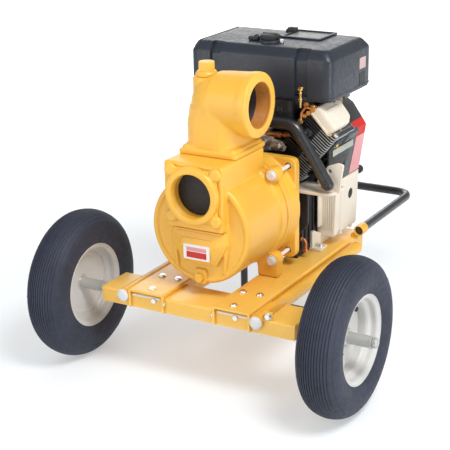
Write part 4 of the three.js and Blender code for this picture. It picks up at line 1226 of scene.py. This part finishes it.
def add_fan_base():
    front, back = SHROUD_LOW.y, SHROUD_HIGH.y
    low, high = BASE_LOW.z, BASE_HIGH.z
    half = HOUSING_HALF
    outline = fillet([(-163, low), (163, low), (half, 430), (-half, 430)], [10, 10, 0, 0], steps=5)
    base = prism(outline, HOUSING_FRONT, back, "Y", 3)
    outline = fillet([(-half, 420), (half, 420), (half, high), (-half, high)], [0, 0, 16, 16])
    union(base, prism(outline, HOUSING_FRONT, front - 0.4, "Y", 3))
    rib_y, rib_z = (HOUSING_FRONT - 0.9, HOUSING_FRONT + 3), (low + 22, 402)
    for side in (-1, 1):
        if side > 0:
            cut(base, rod(15, 148, 190, SIDE_HOLE, "X", 48))
        flange_x = out(side, CASE_HALF + 9.5, CASE_HALF + 14)
        flange = block(flange_x, (430, HOUSING_FRONT + 3), (300, 440), 1)
        rib_places = [side * (124 + 6.6 * k) for k in range(6)]
        ribs = [block((x - 1.6, x + 1.6), rib_y, rib_z, 0.6) for x in rib_places]
        union(base, flange, *ribs)
    cut(base, block((-172, 172), (front - 3, front - 1.4), (low + 14, 426)))
    finished(hollow_housing(base), "fan_base_casting", "cream_paint", "fan_housing_base")
    eye = rod(14.7, 150, 165.6, SIDE_HOLE, "X", 48)
    finished(eye, "fan_base_hole_plug", "black_paint", finish="rubber")
    screws = [hex_head((side * 166, y, 277), "X", side, 10, 5) for side in (-1, 1) for y in (484, 549)]
    finished(merged(screws), "fan_base_screws", "zinc")


def add_shroud():
    front, back = SHROUD_LOW.y, SHROUD_HIGH.y
    shell = hollow_housing(prism(shroud_outline(), front, back, "Y", 4))
    finished(shell, "fan_shroud_shell", "black_paint", "fan_shroud")
    red = [(front + 6, 583), (back - 5, 584), (back - 5, 541), (front + 50, 541), (front + 38, 556)]
    pale = [(front + 50, 540), (back - 5, 540), (back - 5, 434), (front + 40, 434)]
    for side, word in SIDES:
        for name, outline, paint in (("red", red, "red_paint"), ("pale", pale, "pink_paint")):
            band = shroud_band(side, outline)
            finished(band, f"{word}_shroud_{name}_band", "black_paint", finish=paint)


def shroud_band(side, outline):
    """A thin skin of paint over the shroud's flank, inside an outline seen from the side."""
    skin = prism(shroud_outline(0.9), SHROUD_LOW.y + 3, SHROUD_HIGH.y - 4.2, "Y")
    cut(skin, prism(shroud_outline(-0.4), SHROUD_LOW.y, SHROUD_HIGH.y, "Y"))
    return combine("INTERSECT", prism(outline, *out(side, 140, 220), "X"), [skin])


def add_fan_screen():
    """The round guard over the fan: rings and spokes on a pressed dome."""
    back = SHROUD_HIGH.y
    dome = [(r, 9 * (1 - (r / SCREEN_R) ** 2)) for r in (14, 27, 40, 53, 66, 79)]
    rings = [sweep([(x, y, h + 1) for x, y in circle(r, 72)], 1.5, 8, closed=True) for r, h in dome]
    spokes = [sweep([(r * math.cos(a), r * math.sin(a), h) for r, h in dome], 1.6, 8) for a in turn(24)]
    rim = lathe(fillet([(84, -3), (97, -3), (97, 2.5), (84, 4)], 1))
    hub = turned([(0, 4), (16, 4), (16, 12), (0, 13)], [0, 2, 3, 0], sides=48)
    place = Matrix.Translation((0, back + 3.2, SHAFT.z)) @ AXES["Y"]
    finished(moved(merged([*rings, *spokes, rim, hub]), place), "fan_guard", "black_paint")
    screws = [hex_head((x, back + 4.6, SHAFT.z + z), "Y", 1, 9, 4) for x, z in circle(91, 6)]
    finished(merged(screws), "fan_guard_screws", "zinc")


def add_air_guides():
    """The sheet-metal guide under each head, with a coil box and a plain plate on it."""
    upper = [(118, 470), (168, 466), (189, 506), (189, 544), (213, 574)]
    lower = [(209, 578), (184, 548), (184, 510), (164, 472), (118, 476)]
    coil_outline = [(188, 546), (200, 552), (217, 574), (208, 586), (190, 570)]
    for side, word in SIDES:
        y = HEADS[side].y
        guide = prism(fillet(handed(side, upper + lower), 2, steps=2), y - 40, 488, "Y", 0.6, 2)
        finished(guide, f"{word}_air_guide", "black_paint", finish="black_aluminium")
        coil = prism(handed(side, coil_outline), y + 26, y + 92, "Y", 3)
        finished(coil, f"{word}_ignition_coil", "black_paint", finish="slate")
        bolt = hex_head((side * 192, y - 12, 556), "X", side, 13, 8, washer=9)
        finished(bolt, f"{word}_coil_bolt", "zinc", finish="brass")
        plate = block(out(side, 189.4, 191.2), (y - 20, y + 110), (524, 542), 0.5, 2)
        finished(plate, f"{word}_blank_plate", "black_paint", finish="plate_green")


def add_brass_fittings():
    """Fuel and vacuum unions at the right head's inner corner, with their copper pipes."""
    heads = [
        hex_head((156, 334, 664), "Y", -1, 17, 9, washer=10),
        hex_head((146, 332, 652), "Y", -1, 12, 12),
        hex_head((137, 334, 672), "Y", -1, 13, 8),
        rod(5.5, 318, 334, (124, 0, 628), "Y", 24, edge=1),
        hex_head((124, 326, 628), "Y", -1, 14, 9),
        hex_head((134, 330, 643), "Y", -1, 11, 7),
    ]
    finished(merged(heads), "brass_unions", "brass")
    pipes = [
        bar([(156, 322, 664), (140, 320, 668), (128, 320, 652), (124, 321, 630)], 10, 3.6, 16),
        bar([(124, 320, 628), (116, 320, 616), (112, 330, 600), (96, 346, 588)], 10, 3.2, 16),
    ]
    finished(merged(pipes), "copper_pipes", "brass", finish="copper")


# ---- tank and its support ----
TANK_LOW, TANK_HIGH = span("fuel_tank")
TANK_ROOF = 815
TANK_WALL = 11
CAP = centre("fuel_cap")
FRAME_X, FRAME_Y = (-6, 116), (454, 566)


def add_hoop():
    low, high = span("tank_support_hoop")
    y = (low.y + high.y) / 2
    radius = (high.y - low.y) / 2
    foot_x, foot_z = high.x - radius, low.z + radius + 12
    shoulder, top = 114, high.z - radius
    corners = [(-foot_x, y, foot_z), (-shoulder, y, top), (shoulder, y, top), (foot_x, y, foot_z)]
    hoop = bar(corners, 46, radius, 40, 14)
    ends = [lathe(half_circle(radius, 16), (side * foot_x, y, foot_z), sides=40) for side in (-1, 1)]
    finished(union(hoop, *ends), "hoop_tube", "black_paint", "tank_support_hoop")
    for side, word in SIDES:
        bolt = hex_head((side * foot_x, y - radius + 0.5, foot_z + 6), "Y", -1, 10, 5)
        finished(bolt, f"{word}_hoop_bolt", "black_paint")


def add_hoop_bracket():
    front, back = span("tank_support_bracket")[0].y, CASE_FRONT - 0.3
    outline = [(-108, 300), (108, 300), (146, 345), (146, 437), (-146, 437), (-146, 345)]
    plate = prism(fillet(outline, 7, steps=4), front, back, "Y", 1.2, 2)
    cut(plate, rod(100.4, front - 5, back + 5, SHAFT, "Y", 96))
    finished(plate, "hoop_bracket_plate", "aluminium", "tank_support_bracket", finish="black_aluminium")
    corners = [(104, front - 22), (196, front - 22), (226, front - 6), (226, 386), (113, 386), (104, 350)]
    ledge_outline = fillet(corners, [4, 12, 16, 12, 4, 4])
    corners = [(192, 440), (232, 440), (238, 486), (244, 520), (228, 524), (198, 512), (188, 496)]
    ear_outline = fillet(corners, [2, 8, 10, 7, 7, 9, 10])
    for side, word in SIDES:
        ledge = prism(handed(side, ledge_outline), 438, 446.5, "Z", 1.6)
        ear = prism(handed(side, ear_outline), back + 1, back + 9, "Y", 1.4)
        cut(ear, rod(6.5, back - 5, back + 20, (side * 204, 0, 499), "Y", 32))
        finished(union(ledge, ear), f"{word}_bracket_ledge", "aluminium", finish="cream_paint")


def tank_plan(inset, radius):
    """The tank seen from above, drawn in from its CAD box."""
    low, high = TANK_LOW, TANK_HIGH
    return rectangle(-high.x + inset, high.x - inset, low.y + inset, high.y - inset, radius)


def tank_rings(inset=0.0):
    """The moulding's outlines from its floor to its crowned roof."""
    floor, roof = TANK_LOW.z, TANK_ROOF - inset
    lower = [(9, floor + inset), (2.5, floor + 2 + inset), (0, floor + 9), (0, roof - 27)]
    upper = [(2, roof - 21.5), (15, roof - 5.5), (20, roof - 1.5), (26, roof)]
    return [(tank_plan(step + inset, max(24 - step * 0.4, 6)), z) for step, z in lower + upper]


def add_tank():
    low, high = TANK_LOW, TANK_HIGH
    body = loft(tank_rings())
    inner = loft(tank_rings(7.0))
    for x0, x1 in ((-147, -114), (105, 142)):
        groove = prism(rectangle(x0, x1, low.y - 6, low.y + 30, 4), low.z - 2, TANK_ROOF + 10)
        cut(groove, copy(inner))
        cut(body, groove)
    discard(inner)
    seam = loft([(tank_plan(-0.9, 24), z) for z in (low.z + 9, low.z + 12.5)])
    edge_line = [(-205, 792), (-193, 807), (-187, 811), (-188.5, 816), (-196, 811.5), (-208.3, 796)]
    union(body, seam, prism(edge_line, low.y + 22, high.y - 26, "Y", 1, 2))
    hollow = loft([(tank_plan(TANK_WALL, 20), z) for z in (low.z + TANK_WALL, TANK_ROOF - 36)])
    collar = [(16, -4), (31, -4), (29, 4), (25, 7), (16, 7)]
    union(body, turned(collar, [0, 2, 3, 2, 0], (CAP.x, CAP.y, TANK_ROOF), sides=64))
    cut(body, hollow, rod(19, TANK_ROOF - 40, TANK_ROOF + 10, CAP, "Z", 48))
    finished(body, "tank_shell", "tank_plastic", "fuel_tank", smooth=28)


def framed(inset, radius):
    """The raised frame's outline on the tank's roof, drawn in by an inset."""
    return rectangle(FRAME_X[0] + inset, FRAME_X[1] - inset, FRAME_Y[0] + inset, FRAME_Y[1] - inset, radius)


def add_tank_top():
    roof = TANK_ROOF
    x, y = FRAME_X[0], FRAME_Y[1]
    window = prism(framed(8, 5), roof - 5, roof + 9)
    bars = cut(prism(framed(0, 8), roof - 1, roof + 5, "Z", 1.5), window)
    finished(bars, "tank_top_frame", "tank_plastic")
    pad = prism(framed(9, 4), roof - 0.6, roof + 1.2, "Z", 0.5)
    finished(pad, "tank_top_pad", "tank_plastic", finish="pale_pad")
    catch = union(
        block((x - 14, x + 12), (y - 40, y - 20), (roof - 1, roof + 15), 3),
        block((x - 20, x + 2), (y - 36, y - 24), (roof - 1, roof + 9), 2),
    )
    finished(catch, "tank_top_catch", "matte_plastic")


def add_tank_labels():
    """Two plain patches on the tank's right end."""
    face, y = TANK_HIGH.x, FRAME_Y[0]
    pale = prism(rectangle(y + 48, y + 88, 738, 768, 4), face - 0.5, face + 0.7, "X")
    finished(pale, "tank_blank_label", "tank_plastic", finish="label_pink")
    dark = prism(rectangle(y + 50, y + 84, 694, 727, 4), face - 0.5, face + 0.8, "X")
    finished(dark, "tank_dark_label", "tank_plastic", finish="black_aluminium")


def add_tank_mounts():
    at = (124, TANK_LOW.y - 1, 0)
    stud = merged([
        rod(3, 664, 716, at, "Z", 24, edge=0.6),
        hex_head((at[0], at[1], 712), "Z", 1, 12, 8, washer=7.5),
        rod(5, 684, 690, at, "Z", 24, edge=0.8),
        rod(4.4, 700, 706, at, "Z", 24, edge=0.8),
    ])
    finished(stud, "tank_strap_stud", "brass")
    z = TANK_LOW.z
    for side, word in SIDES:
        shelf = block(out(side, 168, 198), (436, 470), (z - 11, z - 0.5), 2)
        arm = union(shelf, block(out(side, 170, 178), (440, 466), (634, z - 4), 2))
        finished(arm, f"{word}_tank_mount", "black_paint")
        bolt = hex_head((side * 184, 434, z - 7), "Y", -1, 12, 7, washer=8)
        finished(bolt, f"{word}_tank_mount_bolt", "zinc", finish="brass")


def add_fuel_cap():
    low, high = span("fuel_cap")
    x, y, z = CAP.x, CAP.y, high.z
    skirt = [(0, low.z), (18.5, low.z), (18.5, 822.4), (25.5, 822.4), (26, 824)]
    crown = [(26, 832), (23.5, z - 3.4), (16, z - 1.6), (0, z - 1.2)]
    body = turned(skirt + crown, [0, 0.5, 0, 1, 1, 2, 3, 6, 0], (x, y, 0))
    ribs = [rod(2.2, 823.2, 832.5, (x + rx, y + ry, 0), "Z", 12, edge=1) for rx, ry in circle(25.4, 22)]
    grip = block((x - 21, x + 21), (y - 5, y + 5), (z - 4, z), 2.4)
    finished(union(body, *ribs, grip), "fuel_cap_moulding", "matte_plastic", "fuel_cap", "cap")


def add_tank_fittings():
    """The fuel tap's block and the breather beside the filler."""
    x, y = CAP.x, CAP.y
    tap = merged([
        block((x - 62, x - 34), (y - 10, y + 8), (TANK_ROOF, TANK_ROOF + 11), 3),
        bar([(x - 48, y, 824), (x - 36, y - 4, 832), (x - 31, y - 2, 818)], 4, 2.2, 12),
    ])
    finished(tap, "fuel_tap_block", "matte_plastic")
    breather = merged([
        rod(5, TANK_ROOF, TANK_ROOF + 8, (x + 42, y - 14, 0), "Z", 32, edge=1),
        hex_head((x + 42, y - 14, 822), "Z", 1, 9, 4),
    ])
    finished(breather, "tank_breather", "zinc")


# ---- intake, exhaust and oil ----
CARB_Y = 372
THROTTLE_Z = 556


def add_air_cleaner():
    low, high = span("air_cleaner")
    y0, y1 = low.y, high.y
    shell = prism(rectangle(-92, 92, y0, y1, 18), low.z, high.z, "Z", 9, 4)
    ridge = prism(rectangle(-93.2, 93.2, y0 - 1.2, y1 + 1.2, 19), 640, 645, "Z", 1.5)
    ribs = [block((x - 2, x + 2), (y0 - 1.6, y0 + 4), (654, high.z - 14), 1) for x in range(-72, 73, 16)]
    finished(union(shell, ridge, *ribs), "air_cleaner_housing", "matte_plastic", "air_cleaner")
    clips = []
    for x in (-56, 56):
        clips.append(block((x - 7, x + 7), (y0 - 3.4, y0 + 1), (628, 656), 1.4))
        clips.append(rod(2, x - 9, x + 9, (0, y0 - 2, 627), "X", 16))
    finished(merged(clips), "air_cleaner_clips", "black_paint")


def add_carburettor():
    low = span("carburettor")[0]
    y = CARB_Y
    body = block((-31, 31), (y - 25, y + 25), (541, 571), 4)
    horn = [(0, 560), (22, 560), (22, 586), (30, 590), (30, 601.4), (0, 601.4)]
    bowl = [(0, low.z), (12, low.z), (20, low.z + 6), (21, 545), (0, 545)]
    boss = rod(13, y - 38, y - 20, (0, 0, THROTTLE_Z), "Y", 48, edge=1.5)
    arm = prism(fillet([(20, 534), (64, 532), (70, 546), (58, 560), (28, 566)], 6), y - 30, y - 14, "Y", 2)
    knob = [(0, 0), (9, 0), (11, 6), (6, 14), (0, 14)]
    union(
        body,
        turned(horn, [0, 0, 3, 2, 2, 0], (0, y, 0), sides=64),
        turned(bowl, [0, 4, 6, 0, 0], (0, y, 0), sides=64),
        boss,
        arm,
        turned(knob, [0, 2, 3, 2, 0], (44, y - 40, 546), "Y", 32),
    )
    finished(body, "carburettor_body", "aluminium", "carburettor")
    unions = merged([
        rod(7, 8, 46, (0, y - 24, 576), "X", 32, edge=1.5),
        hex_head((46, y - 24, 576), "X", 1, 16, 8),
        rod(4, 52, 66, (0, y - 24, 577), "X", 24),
        hex_head((62, y - 24, 578), "X", 1, 14, 9),
        rod(5, 70, 86, (0, y - 24, 579), "X", 24, edge=1),
    ])
    finished(unions, "fuel_union_bar", "brass", finish="copper")
    screws = [hex_head((x, y - 30.5, z), "Y", -1, 8, 4) for x, z in ((30, 541), (62, 540), (-22, 566))]
    finished(merged(screws), "carburettor_screws", "zinc")


def add_controls():
    """The throttle lever with its spring, and the choke knob on its rod."""
    low, high = span("throttle_lever")
    hub = rod(7, low.y + 5.2, high.y, (0, 0, THROTTLE_Z), "Y", 48, edge=0.8)
    blade = prism(fillet([(-6, 552), (6, 552), (4.6, 590), (-4.6, 590)], 4), 328, 332, "Y", 0.6, 2)
    pin = rod(5, low.y, 332, (0, 0, 590), "Y", 32, edge=1.2)
    angles = [0.5 * k for k in range(44)]
    coils = [(9.2 * math.cos(a), 326 + a * 0.28, THROTTLE_Z + 9.2 * math.sin(a)) for a in angles]
    arm = merged([union(hub, blade, pin), sweep(coils, 0.8, 8)])
    finished(arm, "throttle_arm", "zinc", "throttle_lever", "throttle")

    low, high = span("choke_knob")
    shaft = rod(4, low.y, 620, KNOB, "Y", 32, edge=0.5)
    profile = [(0, 617), (5, 617), (11, 621), (11, 633), (8, high.y), (0, high.y)]
    knob = turned(profile, [0, 2, 3, 3, 3, 0], (KNOB.x, 0, KNOB.z), "Y", 64)
    grips = [rod(1.2, 621.5, 632.5, (KNOB.x + x, 0, KNOB.z + z), "Y", 8) for x, z in circle(11, 18)]
    finished(union(shaft, knob, *grips), "choke_pull", "matte_plastic", "choke_knob", "choke")


def add_muffler():
    low, high = span("muffler")
    middle = (low + high) / 2
    outline = rectangle(low.x + 1.5, high.x - 1.5, low.z + 1.5, high.z - 1.5, 26)
    band = [(middle.x + (p.x - middle.x) * 1.03, middle.z + (p.y - middle.z) * 1.03) for p in outline]
    can = prism(outline, low.y, high.y, "Y", 4)
    bands = [prism(band, y, y + 5, "Y", 1.2) for y in (low.y + 16, middle.y - 2.5, high.y - 21)]
    at = (middle.x, 0, middle.z - 16)
    union(can, *bands, rod(11, low.y - 16, low.y + 6, at, "Y", 48, edge=1))
    cut(can, rod(9, low.y - 20, low.y + 20, at, "Y", 32))
    finished(can, "muffler_can", "cast_iron", "muffler")
    length, height = (low.y + 10, high.y - 10), (low.z + 18, high.z - 18)
    starts = [low.y + 12 + 15 * k for k in range(8)]
    slats = [block((low.x - 4, low.x - 2.4), (y, y + 10), height, 0.5) for y in starts]
    rails = [block((low.x - 3.4, low.x + 2), length, (z, z + 5), 1) for z in (low.z + 18, high.z - 23)]
    finished(merged(slats + rails), "muffler_heat_shield", "zinc")


def add_exhaust_pipe():
    """One smooth bend from the left head's port down to the muffler."""
    low = span("exhaust_pipe")[0]
    start, leave = (bank(-1) @ Vector((-FIN_REACH - out_by, 0, 224)) for out_by in (0.3, 40))
    end = Vector((low.x + 13, start.y, low.z))
    path = [start, leave, Vector((end.x, start.y, 440)), end]
    curve = []
    for k in range(25):
        t = k / 24
        weights = ((1 - t) ** 3, 3 * t * (1 - t) ** 2, 3 * t * t * (1 - t), t**3)
        curve.append(sum((w * p for w, p in zip(weights, path)), Vector((0, 0, 0))))
    finished(sweep(curve, 12.8, 36), "exhaust_elbow_pipe", "cast_iron", "exhaust_pipe")


def add_oil_parts():
    low, high = span("oil_filter")
    profile = [(0, 0), (30, 0), (33, 3), (33, 34), (27, 41.5), (0, 41.5)]
    can = turned(profile, [0, 1, 2, 6, 5, 0])
    union(can, *[rod(2.2, 30, 39, (x, y, 0), "Z", 10, edge=1) for x, y in circle(30.5, 15)])
    at = Matrix.Translation((high.x, (low.y + high.y) / 2, (low.z + high.z) / 2))
    moved(can, at @ Matrix.Rotation(-math.pi / 2, 4, "Y"))
    finished(can, "oil_filter_can", "black_paint", "oil_filter")

    low, high = span("oil_dipstick")
    middle = (low + high) / 2
    stick = rod(4.4, low.z, 462, middle, "Z", 24, edge=0.6)
    profile = [(0, 458), (8, 458), (8, 464), (4.4, 468), (4.4, 474), (8, 477), (8, high.z), (0, high.z)]
    grip = turned(profile, [0, 1, 2, 2, 2, 2, 2, 0], (middle.x, middle.y, 0), sides=40)
    finished(union(stick, grip), "dipstick_and_grip", "matte_plastic", "oil_dipstick", "dipstick")


# ---- parts inside ----
INNER_FINISHES = {
    "impeller": "cast_iron",
    "seal_plate": "cast_iron",
    "crankshaft": "cast_iron",
    "shaft_seal": "brass",
    "left_piston": "aluminium",
    "right_piston": "aluminium",
    "flywheel_fan": "black_aluminium",
}


def finish_inner_parts():
    """The CAD shapes of the parts inside stay, with a procedural material each."""
    for node, paint in INNER_FINISHES.items():
        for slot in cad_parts[node].material_slots:
            slot.material = PAINTS[paint]


# ---- the scene ----
add_camera()
add_lights()
add_floor()
add_wheels()
add_frame()
add_casing()
add_suction_flange()
add_flap()
add_cover()
add_elbow()
add_adapter()
add_casing_bolts()
add_banks()
add_crankcase()
add_engine_feet()
add_fan_base()
add_shroud()
add_fan_screen()
add_air_guides()
add_brass_fittings()
add_hoop()
add_hoop_bracket()
add_tank()
add_tank_top()
add_tank_labels()
add_tank_mounts()
add_fuel_cap()
add_tank_fittings()
add_air_cleaner()
add_carburettor()
add_controls()
add_muffler()
add_exhaust_pipe()
add_oil_parts()
finish_inner_parts()
